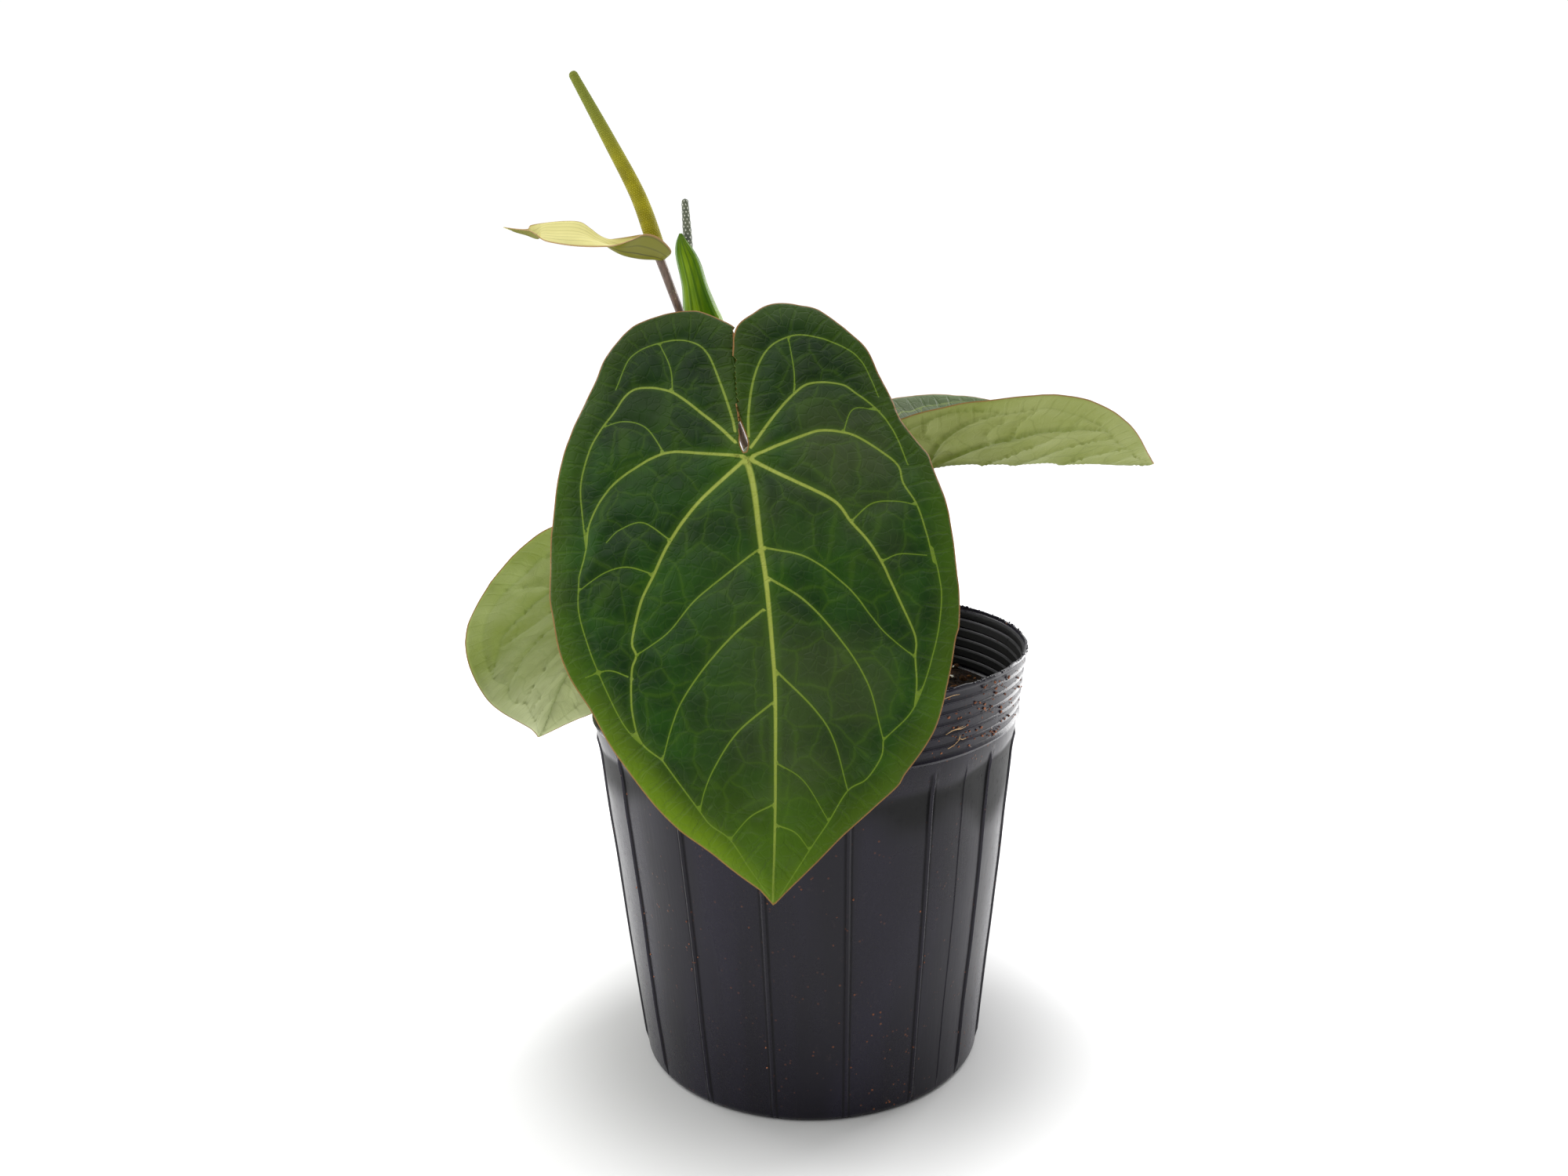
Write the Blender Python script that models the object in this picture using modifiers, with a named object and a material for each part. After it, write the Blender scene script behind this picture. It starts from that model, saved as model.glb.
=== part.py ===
"""A potted anthurium: three heart-shaped leaves, two flower heads and a thin nursery pot.

Metres, +Z up. The origin is the centre of the pot's underside, on the surface that it stands on.
-Y is the front of the plant, where the largest leaf hangs over the rim.
"""
import math
import random

import bmesh
import bpy
from mathutils import Vector

for thing in list(bpy.data.objects):
    bpy.data.objects.remove(thing, do_unlink=True)

MM = 0.001
GAP = 0.3 * MM                    # space between two pieces that touch

# Nursery pot
POT_HEIGHT = 149.5 * MM
POT_WALL = 0.9 * MM
BASE_RADIUS = 60.5 * MM
SHOULDER_RADIUS = 73.0 * MM       # where the plain wall ends
SHOULDER_HEIGHT = 121 * MM
BAND_RADIUS = 74.4 * MM           # lower edge of the band under the rim
BAND_HEIGHT = 125 * MM
RIM_RADIUS = 77.5 * MM
POT_STEPS = 48
FOOT_WIDTH = 5 * MM               # ring that the pot stands on
PAD_RADIUS = 22 * MM              # flat middle of the underside, level with the foot ring
CHANNEL_DEPTH = 2 * MM            # raised ring between them, which holds the drain holes
DRAIN_HOLES = 8
DRAIN_RADIUS = 4.5 * MM
DRAIN_CIRCLE = 46 * MM
FLOOR_HEIGHT = CHANNEL_DEPTH + POT_WALL

# Potting mix
MIX_TOP = 127 * MM
MIX_GAP = 0.5 * MM

# Crown, the short stem that everything grows from
CROWN_TOP = 138 * MM
CROWN_BOTTOM = 98 * MM
CROWN_TOP_RADIUS = 12 * MM
CROWN_BOTTOM_RADIUS = 7.5 * MM
CROWN_STEPS = 24
CUT_ABOVE = 18 * MM               # how far the crown's cutter stands above the mix

ROOTS = 5
ROOT_RADIUS = 1.8 * MM

PETIOLE_RADIUS = 2.2 * MM
STALK_RADIUS = 1.35 * MM
BLADE_THICKNESS = 0.7 * MM
BLADE_RINGS = 4                   # strips of faces between a blade's middle and its margin
BRACT_THICKNESS = 0.6 * MM
BRACT_RINGS = 3
SHEATH_THICKNESS = 0.4 * MM
SMOOTH_ANGLE = 60                 # edges flatter than this are shaded smooth

# Half of a leaf's outline as (across, along), in parts of the blade's length from sinus to tip.
# It runs from the sinus round the lobe and down to the tip.
HEART = [
    (0.008, -0.02), (0.012, -0.19), (0.023, -0.30), (0.062, -0.36), (0.11, -0.388), (0.16, -0.38),
    (0.23, -0.35), (0.295, -0.28), (0.34, -0.19), (0.38, -0.09), (0.42, 0.0), (0.447, 0.10),
    (0.463, 0.22), (0.465, 0.31), (0.455, 0.41), (0.42, 0.52), (0.38, 0.60), (0.325, 0.685),
    (0.255, 0.765), (0.17, 0.845), (0.085, 0.92),
]
# The front leaf's own halves, which differ: its left one is slimmer and its right one bulges.
FRONT_LEFT = [
    (0.008, -0.02), (0.012, -0.17), (0.016, -0.30), (0.040, -0.355), (0.085, -0.38), (0.135, -0.388),
    (0.195, -0.375), (0.255, -0.345), (0.315, -0.275), (0.365, -0.19), (0.405, -0.09), (0.432, 0.0),
    (0.450, 0.095), (0.460, 0.19), (0.465, 0.29), (0.448, 0.405), (0.416, 0.49), (0.360, 0.605),
    (0.285, 0.71), (0.193, 0.825), (0.085, 0.92),
]
FRONT_RIGHT = [
    (0.008, -0.02), (0.010, -0.17), (0.012, -0.30), (0.036, -0.355), (0.075, -0.385), (0.115, -0.393),
    (0.165, -0.38), (0.225, -0.345), (0.290, -0.27), (0.332, -0.175), (0.362, -0.09), (0.405, -0.01),
    (0.437, 0.08), (0.456, 0.17), (0.465, 0.30), (0.462, 0.395), (0.435, 0.51), (0.385, 0.64),
    (0.300, 0.745), (0.195, 0.845), (0.085, 0.93),
]
# Half of a spathe, from its foot to its tip.
LANCE = [(0.05, 0.0), (0.085, 0.06), (0.105, 0.18), (0.105, 0.35), (0.095, 0.55), (0.07, 0.75), (0.035, 0.9)]
YOUNG_LANCE = [(0.09, 0.0), (0.15, 0.12), (0.17, 0.28), (0.15, 0.45), (0.115, 0.62), (0.08, 0.8), (0.045, 0.93)]


def make_collection(name):
    collection = bpy.data.collections.new(name)
    bpy.context.scene.collection.children.link(collection)
    return collection


PARTS = make_collection("potted_anthurium")
CUTTERS = make_collection("cutters")


def make_material(name, colour, roughness, metallic=0.0):
    material = bpy.data.materials.new(name)
    material.use_nodes = True
    shader = material.node_tree.nodes["Principled BSDF"]
    shader.inputs["Base Color"].default_value = (*colour, 1.0)
    shader.inputs["Roughness"].default_value = roughness
    shader.inputs["Metallic"].default_value = metallic
    return material


BLACK_PLASTIC = make_material("black_plastic", (0.022, 0.022, 0.028), 0.38)
MIX_BROWN = make_material("potting_mix", (0.030, 0.018, 0.011), 0.95)
BARK = make_material("bark", (0.085, 0.038, 0.018), 0.9)
ROOT_SKIN = make_material("root", (0.42, 0.33, 0.20), 0.8)
CROWN_SKIN = make_material("crown", (0.16, 0.13, 0.06), 0.75)
LEAF_GREEN = make_material("leaf", (0.020, 0.050, 0.014), 0.36)
PALE_LEAF = make_material("pale_leaf", (0.30, 0.36, 0.12), 0.5)
PETIOLE_GREEN = make_material("petiole", (0.10, 0.11, 0.035), 0.45)
STALK_PURPLE = make_material("stalk", (0.085, 0.055, 0.045), 0.45)
SPATHE_YELLOW = make_material("spathe", (0.50, 0.50, 0.18), 0.5)
SPADIX_OLIVE = make_material("spadix", (0.22, 0.22, 0.030), 0.7)
YOUNG_GREEN = make_material("young_spathe", (0.06, 0.14, 0.008), 0.42)
YOUNG_GREY = make_material("young_spadix", (0.08, 0.09, 0.06), 0.7)
PAPER = make_material("sheath", (0.20, 0.12, 0.06), 0.85)


def add_object(name, data, material, collection=PARTS):
    thing = bpy.data.objects.new(name, data)
    collection.objects.link(thing)
    if material:
        data.materials.append(material)
    return thing


def mesh_from(bm, name):
    mesh = bpy.data.meshes.new(name)
    bm.to_mesh(mesh)
    bm.free()
    return mesh


def smooth(mesh):
    mesh.shade_smooth()
    mesh.set_sharp_from_angle(angle=math.radians(SMOOTH_ANGLE))


def turned(name, profile, steps, material, collection=PARTS):
    """A profile of (radius, height) turned round Z. It runs down its outer side."""
    bm = bmesh.new()
    ring = [bm.verts.new((radius, 0, height)) for radius, height in profile]
    for first, second in zip(ring, ring[1:]):
        bm.edges.new((first, second))
    thing = add_object(name, mesh_from(bm, name), material, collection)
    screw = thing.modifiers.new("turn", "SCREW")
    screw.angle = math.tau
    screw.steps = steps
    screw.render_steps = steps
    screw.use_merge_vertices = True
    screw.merge_threshold = 0.00001
    screw.use_smooth_shade = True
    return thing


def tube(name, points, radius, material, taper=None, collection=PARTS):
    """A smooth tube through hand-placed points. taper gives one radius factor a point."""
    curve = bpy.data.curves.new(name, "CURVE")
    curve.dimensions = "3D"
    curve.bevel_depth = radius
    curve.bevel_resolution = 2
    curve.use_fill_caps = True
    path, factors = smooth_path(points, taper or [1.0] * len(points))
    spline = curve.splines.new("POLY")
    spline.points.add(len(path) - 1)
    for point, place, factor in zip(spline.points, path, factors):
        point.co = (*place, 1.0)
        point.radius = factor
    return add_object(name, curve, material, collection)


def smooth_path(points, factors, samples=3):
    """Catmull-Rom through the points, with the radius factors carried along."""
    points = [Vector(point) for point in points]
    ends = [2 * points[0] - points[1], *points, 2 * points[-1] - points[-2]]
    path, widths = [], []
    for i in range(len(points) - 1):
        before, start, stop, after = ends[i:i + 4]
        for k in range(samples):
            t = k / samples
            place = start * 2 + (stop - before) * t
            place += (2 * before - 5 * start + 4 * stop - after) * t ** 2
            place += (3 * start - before - 3 * stop + after) * t ** 3
            path.append(place / 2)
            widths.append(factors[i] + (factors[i + 1] - factors[i]) * t)
    return [*path, points[-1]], [*widths, factors[-1]]


def as_mesh(thing, material):
    """Turns a curve into a closed mesh with its caps welded, in the same collection."""
    bpy.context.view_layer.update()
    evaluated = thing.evaluated_get(bpy.context.evaluated_depsgraph_get())
    mesh = bpy.data.meshes.new_from_object(evaluated)
    bm = bmesh.new()
    bm.from_mesh(mesh)
    bmesh.ops.remove_doubles(bm, verts=bm.verts, dist=0.00001)
    bm.to_mesh(mesh)
    bm.free()
    name = thing.name
    collection = thing.users_collection[0]
    place = thing.matrix_world.copy()
    bpy.data.objects.remove(thing, do_unlink=True)
    mesh.materials.clear()
    solid = add_object(name, mesh, material, collection)
    solid.matrix_world = place
    return solid


def cut(thing, cutter):
    """Takes the cutter's shape out of the thing."""
    cutter.hide_render = True
    cutter.display_type = "WIRE"
    boolean = thing.modifiers.new(cutter.name, "BOOLEAN")
    boolean.operation = "DIFFERENCE"
    boolean.solver = "EXACT"
    boolean.object = cutter


# ---- nursery pot

def wall_radius(height):
    """Outer radius of the pot at a height."""
    if height <= SHOULDER_HEIGHT:
        return BASE_RADIUS + (SHOULDER_RADIUS - BASE_RADIUS) * height / SHOULDER_HEIGHT
    share = (height - BAND_HEIGHT) / (POT_HEIGHT - BAND_HEIGHT)
    return BAND_RADIUS + (RIM_RADIUS - BAND_RADIUS) * max(share, 0.0)


def make_pot():
    foot = BASE_RADIUS - 1.5 * MM
    inner = [
        (0, FLOOR_HEIGHT),
        (wall_radius(FLOOR_HEIGHT) - POT_WALL - 1.5 * MM, FLOOR_HEIGHT),
        (wall_radius(FLOOR_HEIGHT) - POT_WALL, FLOOR_HEIGHT + 1.5 * MM),
        (SHOULDER_RADIUS - POT_WALL, SHOULDER_HEIGHT),
        (BAND_RADIUS - POT_WALL, BAND_HEIGHT),
        (RIM_RADIUS - 1.3 * MM, POT_HEIGHT - 0.4 * MM),
        (RIM_RADIUS - 0.9 * MM, POT_HEIGHT),
    ]
    outer = [
        (RIM_RADIUS - 0.2 * MM, POT_HEIGHT),
        (RIM_RADIUS, POT_HEIGHT - 0.5 * MM),
        (RIM_RADIUS - 0.8 * MM, POT_HEIGHT - 2.5 * MM),
        (BAND_RADIUS, BAND_HEIGHT),
        (SHOULDER_RADIUS, SHOULDER_HEIGHT),
        (wall_radius(1.5 * MM), 1.5 * MM),
        (foot, 0),
    ]
    underside = [
        (foot - FOOT_WIDTH, 0),
        (foot - FOOT_WIDTH - 1 * MM, CHANNEL_DEPTH),
        (PAD_RADIUS + 1 * MM, CHANNEL_DEPTH),
        (PAD_RADIUS, 0),
        (0, 0),
    ]
    pot = turned("nursery_pot", inner + outer + underside, POT_STEPS, BLACK_PLASTIC)
    for i in range(DRAIN_HOLES):
        angle = math.tau * (i + 0.5) / DRAIN_HOLES
        bm = bmesh.new()
        bmesh.ops.create_cone(bm, cap_ends=True, segments=12, radius1=DRAIN_RADIUS,
                              radius2=DRAIN_RADIUS, depth=20 * MM)
        cutter = add_object(f"drain_cutter_{i + 1}", mesh_from(bm, "drain_cutter"), None, CUTTERS)
        cutter.location = (DRAIN_CIRCLE * math.cos(angle), DRAIN_CIRCLE * math.sin(angle), 0)
        cut(pot, cutter)


# ---- crown, roots and potting mix

def crown_profile(grow=0.0, top=CROWN_TOP):
    """The crown's outline, or its hole's outline when grown by the gap and carried up past the mix."""
    return [
        (0, top),
        (CROWN_TOP_RADIUS + grow, top),
        (CROWN_TOP_RADIUS + grow, CROWN_TOP - 4 * MM),
        (CROWN_BOTTOM_RADIUS + 1.5 * MM + grow, CROWN_TOP - 16 * MM),
        (CROWN_BOTTOM_RADIUS + grow, CROWN_BOTTOM - grow),
        (0, CROWN_BOTTOM - grow),
    ]


def root_points(index, lead_in=()):
    """A root's route out of the crown. lead_in starts its hole further in, to join the crown's."""
    angle = math.tau * (index + 0.35) / ROOTS
    across = Vector((math.cos(angle), math.sin(angle), 0))
    turn = Vector((-across.y, across.x, 0))
    start = CROWN_BOTTOM_RADIUS + 1.7 * MM
    steps = [
        *lead_in, (start, 0, 108), (18 * MM, 1.5, 104), (30 * MM, 4, 92), (38 * MM, 3, 74),
        (41 * MM, -2, 55), (36 * MM, -5, 38), (28 * MM, -4, 24),
    ]
    sway = 1.0 if index % 2 else -1.0
    return [across * out + turn * sway * side * MM + Vector((0, 0, height * MM)) for out, side, height in steps]


def make_soil():
    crown = turned("crown", crown_profile(), CROWN_STEPS, CROWN_SKIN)
    crown.data.shade_smooth()
    inside = POT_WALL + MIX_GAP
    mix_profile = [
        (0, MIX_TOP),
        (BAND_RADIUS - inside - 1.0 * MM, MIX_TOP),
        (BAND_RADIUS - inside - 0.2 * MM, BAND_HEIGHT),
        (SHOULDER_RADIUS - inside, SHOULDER_HEIGHT),
        (wall_radius(FLOOR_HEIGHT) - inside - 0.2 * MM, FLOOR_HEIGHT + 2 * MM),
        (wall_radius(FLOOR_HEIGHT) - inside - 1.8 * MM, FLOOR_HEIGHT + GAP),
        (0, FLOOR_HEIGHT + GAP),
    ]
    mix = turned("potting_mix", mix_profile, POT_STEPS, MIX_BROWN)
    cut(mix, turned("crown_cutter", crown_profile(GAP, CROWN_TOP + CUT_ABOVE), CROWN_STEPS, None, CUTTERS))
    for i in range(ROOTS):
        taper = [1.0, 1.0, 0.95, 0.9, 0.8, 0.65, 0.4]
        tube(f"root_{i + 1}", root_points(i), ROOT_RADIUS, ROOT_SKIN, taper)
        hole = tube(f"root_cutter_{i + 1}", root_points(i, [(4 * MM, 0, 109)]), ROOT_RADIUS * 1.4, None,
                    [1.0, 1.0, 1.0, 1.0, 0.97, 0.92, 0.85, 0.75], CUTTERS)
        cut(mix, as_mesh(hole, None))


# ---- leaves

class Blade:
    """Carries flat leaf coordinates (across, along) onto a curved blade.

    The midrib is an arc from the sinus to the tip. Each half leaves it at the fold angle and
    curls evenly towards its margin. curls holds the left half's curl and the right half's.
    """

    def __init__(self, sinus, tip, facing, bend, fold, fold_along, curls):
        self.sinus = Vector(sinus)
        chord = Vector(tip) - self.sinus
        self.length = chord.length
        self.down = chord.normalized()
        facing = Vector(facing)
        self.facing = (facing - self.down * facing.dot(self.down)).normalized()
        self.side = self.facing.cross(self.down)
        self.bend = bend
        self.fold = fold
        self.fold_along = fold_along
        self.curls = curls
        half_turn = math.asin(min(0.999, bend * self.length / 2))
        self.start_angle = half_turn
        self.stretch = 2 * half_turn / (bend * self.length)

    @staticmethod
    def arc(curvature, distance, angle):
        end = angle + curvature * distance
        across = (math.sin(end) - math.sin(angle)) / curvature
        rise = (math.cos(angle) - math.cos(end)) / curvature
        return across, rise

    def place(self, across, along):
        along = along * self.stretch
        forward, rise = self.arc(-self.bend, along, self.start_angle)
        angle = self.start_angle - self.bend * along
        facing = self.facing * math.cos(angle) - self.down * math.sin(angle)
        curl = self.curls[1] if across > 0 else self.curls[0]
        out, lift = self.arc(curl, abs(across), self.fold + self.fold_along * along)
        point = self.sinus + self.down * forward + self.facing * rise
        return point + self.side * math.copysign(out, across) + facing * lift


def heart_outline(length, halves, widths, lobe=1.0, gape=0.0):
    """The whole outline in metres, from the sinus down the left side and back up the right.

    lobe shortens the two lobes, and gape opens the cleft between them.
    """
    def half(shape, width, sign):
        points = []
        for across, along in shape:
            back = max(-along / 0.388, 0.0)
            opened = across * width + gape * back * (1 - min(across / 0.2, 1.0))
            points.append((sign * opened * length, along * length * (lobe if along < 0 else 1.0)))
        return points
    left = half(halves[0], widths[0], -1)
    right = half(halves[1], widths[1], 1)
    return [*left, (0.0, length), *reversed(right)]


def make_blade(name, blade, outline, centre, rings, material, thickness=BLADE_THICKNESS):
    """A fan of strips from the centre to the outline, bent by the blade and made solid."""
    bm = bmesh.new()
    hub = bm.verts.new(blade.place(*centre))
    columns = []
    for across, along in outline:
        column = []
        for ring in range(1, rings + 1):
            share = ring / rings
            flat = [middle + (edge - middle) * share for middle, edge in zip(centre, (across, along))]
            column.append(bm.verts.new(blade.place(*flat)))
        columns.append(column)
    for first, second in zip(columns, columns[1:]):
        bm.faces.new((hub, first[0], second[0]))
        for k in range(rings - 1):
            bm.faces.new((first[k], first[k + 1], second[k + 1], second[k]))
    bmesh.ops.recalc_face_normals(bm, faces=bm.faces)
    mesh = mesh_from(bm, name)
    smooth(mesh)
    leaf = add_object(name, mesh, material)
    solid = leaf.modifiers.new("thickness", "SOLIDIFY")
    solid.thickness = thickness
    solid.offset = 0.0
    return leaf


FRONT = Blade((-0.0172, -0.068, 0.2228), (-0.0116, -0.113, 0.1021), (0, -1, 0.3), 2.2, -0.03, 0.01, (-3.0, -3.0))
RIGHT = Blade((0.042, -0.009, 0.211), (0.1262, 0.0196, 0.2062), (0.025, 0.084, 0.996), 0.4, 0.49, -0.86, (5.4, 5.4))
LEFT = Blade((-0.029, 0.016, 0.183), (-0.111, 0.083, 0.088), (-0.37, 0.57, 0.73), 5.8, 0.0, -4.1, (4.5, 1.3))

def rise_from_crown(x, y):
    """The first two points of a stalk, straight up from the crown's top."""
    return [(x, y, CROWN_TOP + GAP), (x * 1.02, y * 1.02, CROWN_TOP + 10 * MM)]


def make_leaves():
    for name, blade, halves, widths, lobe, gape, material in (
            ("front_leaf", FRONT, (FRONT_LEFT, FRONT_RIGHT), (1.0, 1.0), 1.0, 0.0, LEAF_GREEN),
            ("right_leaf", RIGHT, (HEART, HEART), (1.02, 1.05), 1.0, 0.02, PALE_LEAF),
            ("left_leaf", LEFT, (HEART, HEART), (0.85, 1.17), 0.52, 0.06, PALE_LEAF)):
        outline = heart_outline(blade.length, halves, widths, lobe, gape)
        make_blade(name, blade, outline, (0.0, 0.0), BLADE_RINGS, material)
    reach = BLADE_THICKNESS / 2 + GAP
    for name, blade, route in (
            ("front_petiole", FRONT, [*rise_from_crown(-0.001, -0.0068), (-0.003, -0.013, 0.168),
                                      (-0.008, -0.030, 0.198), (-0.014, -0.053, 0.220)]),
            ("right_petiole", RIGHT, [*rise_from_crown(0.0068, 0.0008), (0.010, 0.001, 0.164),
                                      (0.022, -0.003, 0.188), (0.035, -0.008, 0.2035)]),
            ("left_petiole", LEFT, [*rise_from_crown(-0.006, 0.0048), (-0.0105, 0.0065, 0.162),
                                    (-0.018, 0.010, 0.1725)])):
        under = blade.place(0.0, 0.002) - blade.facing * (reach + PETIOLE_RADIUS * 0.9)
        tube(name, [*route, under], PETIOLE_RADIUS, PETIOLE_GREEN,
             [1.1, 1.0, *[0.88] * (len(route) - 3), 1.05, 0.95])


# ---- flower heads

def make_flowers():
    stalk_top = Vector((-0.0424, -0.0320, 0.2796))
    tube("flower_stalk", [*rise_from_crown(-0.0075, -0.0035), (-0.0135, -0.0085, 0.172),
                          (-0.0245, -0.0185, 0.218), (-0.0362, -0.0293, 0.260), stalk_top],
         STALK_RADIUS, STALK_PURPLE)
    tube("spadix", [(-0.0430, -0.0321, 0.2808), (-0.0446, -0.0321, 0.2867), (-0.0489, -0.0325, 0.2995),
                    (-0.0570, -0.0331, 0.3160), (-0.0665, -0.0340, 0.3350)],
         2.6 * MM, SPADIX_OLIVE, [0.5, 1.0, 0.92, 0.75, 0.45])
    spathe = Blade((-0.0450, -0.0365, 0.2826), (-0.0873, -0.0470, 0.2898), (0.10, -0.80, 0.6),
                   5.0, 0.35, -8.0, (4.0, 4.0))
    make_lance("spathe", spathe, LANCE, SPATHE_YELLOW)
    young_top = Vector((-0.0343, -0.0105, 0.2640))
    tube("young_flower_stalk", [*rise_from_crown(-0.0008, 0.0068), (-0.0040, 0.0045, 0.172),
                                (-0.0150, -0.0015, 0.207), (-0.0275, -0.0080, 0.245), young_top],
         STALK_RADIUS, STALK_PURPLE)
    tube("young_spadix", [young_top + Vector((-0.0001, 0, 0.0012)), (-0.0348, -0.0112, 0.2745),
                          (-0.0353, -0.0120, 0.2880), (-0.0357, -0.0125, 0.2985)],
         1.45 * MM, YOUNG_GREY, [0.7, 1.0, 0.95, 0.6])
    young = Blade((-0.0292, -0.0160, 0.2500), (-0.0373, -0.0150, 0.2882), (0.1, -1.0, 0.1),
                  5.0, -0.45, 5.0, (-70.0, -70.0))
    make_lance("young_spathe", young, YOUNG_LANCE, YOUNG_GREEN)


def make_lance(name, blade, shape, material):
    left = [(-across * blade.length, along * blade.length) for across, along in shape]
    right = [(-across, along) for across, along in reversed(left)]
    outline = [*left, (0.0, blade.length), *right]
    outline.append(outline[0])
    make_blade(name, blade, outline, (0.0, blade.length * 0.25), BRACT_RINGS, material, BRACT_THICKNESS)


# ---- dry sheaths at the foot of the stalks, and bark on the mix

def make_litter():
    for i, (azimuth, width) in enumerate(((-46, 54), (60, 54), (182, 24))):
        bm = bmesh.new()
        columns = []
        for k in range(7):
            share = k / 6
            angle = math.radians(azimuth + width * (share - 0.5))
            rise = 9 * MM + 9 * MM * math.sin(math.pi * share)
            column = []
            for level in (0.0, 0.5, 1.0):
                radius = 11.2 * MM - 1.4 * MM * level
                height = CROWN_TOP + GAP + rise * level
                column.append(bm.verts.new((radius * math.cos(angle), radius * math.sin(angle), height)))
            columns.append(column)
        for first, second in zip(columns, columns[1:]):
            for k in range(2):
                bm.faces.new((first[k], second[k], second[k + 1], first[k + 1]))
        sheath = add_object(f"sheath_{i + 1}", mesh_from(bm, "sheath"), PAPER)
        solid = sheath.modifiers.new("thickness", "SOLIDIFY")
        solid.thickness = SHEATH_THICKNESS
        solid.offset = 1.0
    shapes = random.Random(7)
    chips = 9
    for i in range(chips):
        angle = math.tau * (i + 0.5 * shapes.random()) / chips
        distance = (30 + 30 * shapes.random()) * MM
        bm = bmesh.new()
        bmesh.ops.create_cube(bm, size=1.0)
        for corner in bm.verts:
            corner.co.x *= 1 - 0.35 * shapes.random()
            corner.co.y *= 1 - 0.45 * shapes.random()
        size = Vector((11 + 6 * shapes.random(), 6 + 3 * shapes.random(), 2.4 + 1.6 * shapes.random())) * MM
        bmesh.ops.scale(bm, vec=size, verts=bm.verts)
        chip = add_object(f"bark_chip_{i + 1}", mesh_from(bm, "bark_chip"), BARK)
        chip.location = (distance * math.cos(angle), distance * math.sin(angle), MIX_TOP + GAP + size.z / 2)
        chip.rotation_euler = (0, 0, math.tau * shapes.random())


make_pot()
make_soil()
make_leaves()
make_flowers()
make_litter()
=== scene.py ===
import math
import random

import bmesh
import bpy
import numpy as np
from mathutils import Matrix, Vector, geometry, noise


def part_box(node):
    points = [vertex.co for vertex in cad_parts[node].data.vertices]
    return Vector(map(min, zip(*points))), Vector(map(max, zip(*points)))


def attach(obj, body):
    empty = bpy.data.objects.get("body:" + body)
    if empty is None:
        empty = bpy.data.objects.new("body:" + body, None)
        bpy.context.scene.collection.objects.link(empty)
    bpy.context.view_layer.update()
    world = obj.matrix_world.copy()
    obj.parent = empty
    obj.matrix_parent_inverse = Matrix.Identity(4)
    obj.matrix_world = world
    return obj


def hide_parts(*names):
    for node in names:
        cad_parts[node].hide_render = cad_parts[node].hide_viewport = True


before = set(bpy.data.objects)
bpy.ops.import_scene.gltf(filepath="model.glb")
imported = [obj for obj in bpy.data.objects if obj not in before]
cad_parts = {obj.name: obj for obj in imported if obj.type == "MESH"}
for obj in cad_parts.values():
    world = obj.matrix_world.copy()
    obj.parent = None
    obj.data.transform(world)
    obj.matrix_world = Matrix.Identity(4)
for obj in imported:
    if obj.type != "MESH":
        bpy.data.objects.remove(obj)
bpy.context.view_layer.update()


# ---- Studio
# A white sweep under a soft white sky, with one large soft box above and to the left of the plant.
# The camera stands a little above the leaves and looks down on the pot.

CAMERA_AT = (-0.00675, -0.46874, 0.27082)
LOOKS_DOWN = 12.34
CAMERA_ROLL = -1.267
LENS = 31.615
SKY_STRENGTH = 1.04

scene = bpy.context.scene
scene.view_settings.view_transform = "Standard"
camera_data = bpy.data.cameras.new("camera")
camera_data.sensor_width = 36
camera_data.lens = LENS
camera_data.clip_start = 0.01
camera = bpy.data.objects.new("camera", camera_data)
scene.collection.objects.link(camera)
camera.matrix_world = (
    Matrix.Translation(CAMERA_AT)
    @ Matrix.Rotation(math.radians(90 - LOOKS_DOWN), 4, "X")
    @ Matrix.Rotation(math.radians(CAMERA_ROLL), 4, "Z")
)
scene.camera = camera

# The white sky is brightest overhead and behind the plant, and dim behind the camera, where the room is dark.
world = bpy.data.worlds.new("sky")
world.use_nodes = True
sky = world.node_tree
background = sky.nodes["Background"]
background.inputs["Color"].default_value = (1.0, 1.0, 1.0, 1.0)
towards = sky.nodes.new("ShaderNodeSeparateXYZ")
sky.links.new(sky.nodes.new("ShaderNodeTexCoord").outputs["Generated"], towards.inputs[0])


def sky_step(axis, low, high, dim, bright):
    step = sky.nodes.new("ShaderNodeMapRange")
    step.interpolation_type = "SMOOTHSTEP"
    for socket, value in zip(step.inputs[1:5], (low, high, dim, bright)):
        socket.default_value = value
    sky.links.new(towards.outputs[axis], step.inputs[0])
    return step.outputs[0]


glow = sky.nodes.new("ShaderNodeMath")
glow.operation = "ADD"
sky.links.new(sky_step("Y", -0.45, 0.3, 0.22, SKY_STRENGTH), glow.inputs[0])
sky.links.new(sky_step("Z", 0.35, 0.95, 0.0, 1.0), glow.inputs[1])
seen = sky.nodes.new("ShaderNodeMix")
sky.links.new(sky.nodes.new("ShaderNodeLightPath").outputs["Is Camera Ray"], seen.inputs[0])
sky.links.new(glow.outputs[0], seen.inputs[2])
seen.inputs[3].default_value = SKY_STRENGTH
sky.links.new(seen.outputs[0], background.inputs["Strength"])
scene.world = world


def soft_box(name, place, aim, width, height, power):
    """A soft area light at a place, turned to face a point."""
    light = bpy.data.lights.new(name, "AREA")
    light.shape = "RECTANGLE"
    light.size = width
    light.size_y = height
    light.energy = power
    lamp = bpy.data.objects.new(name, light)
    scene.collection.objects.link(lamp)
    lamp.location = place
    lamp.rotation_euler = (Vector(aim) - Vector(place)).to_track_quat("-Z", "Y").to_euler()


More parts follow.
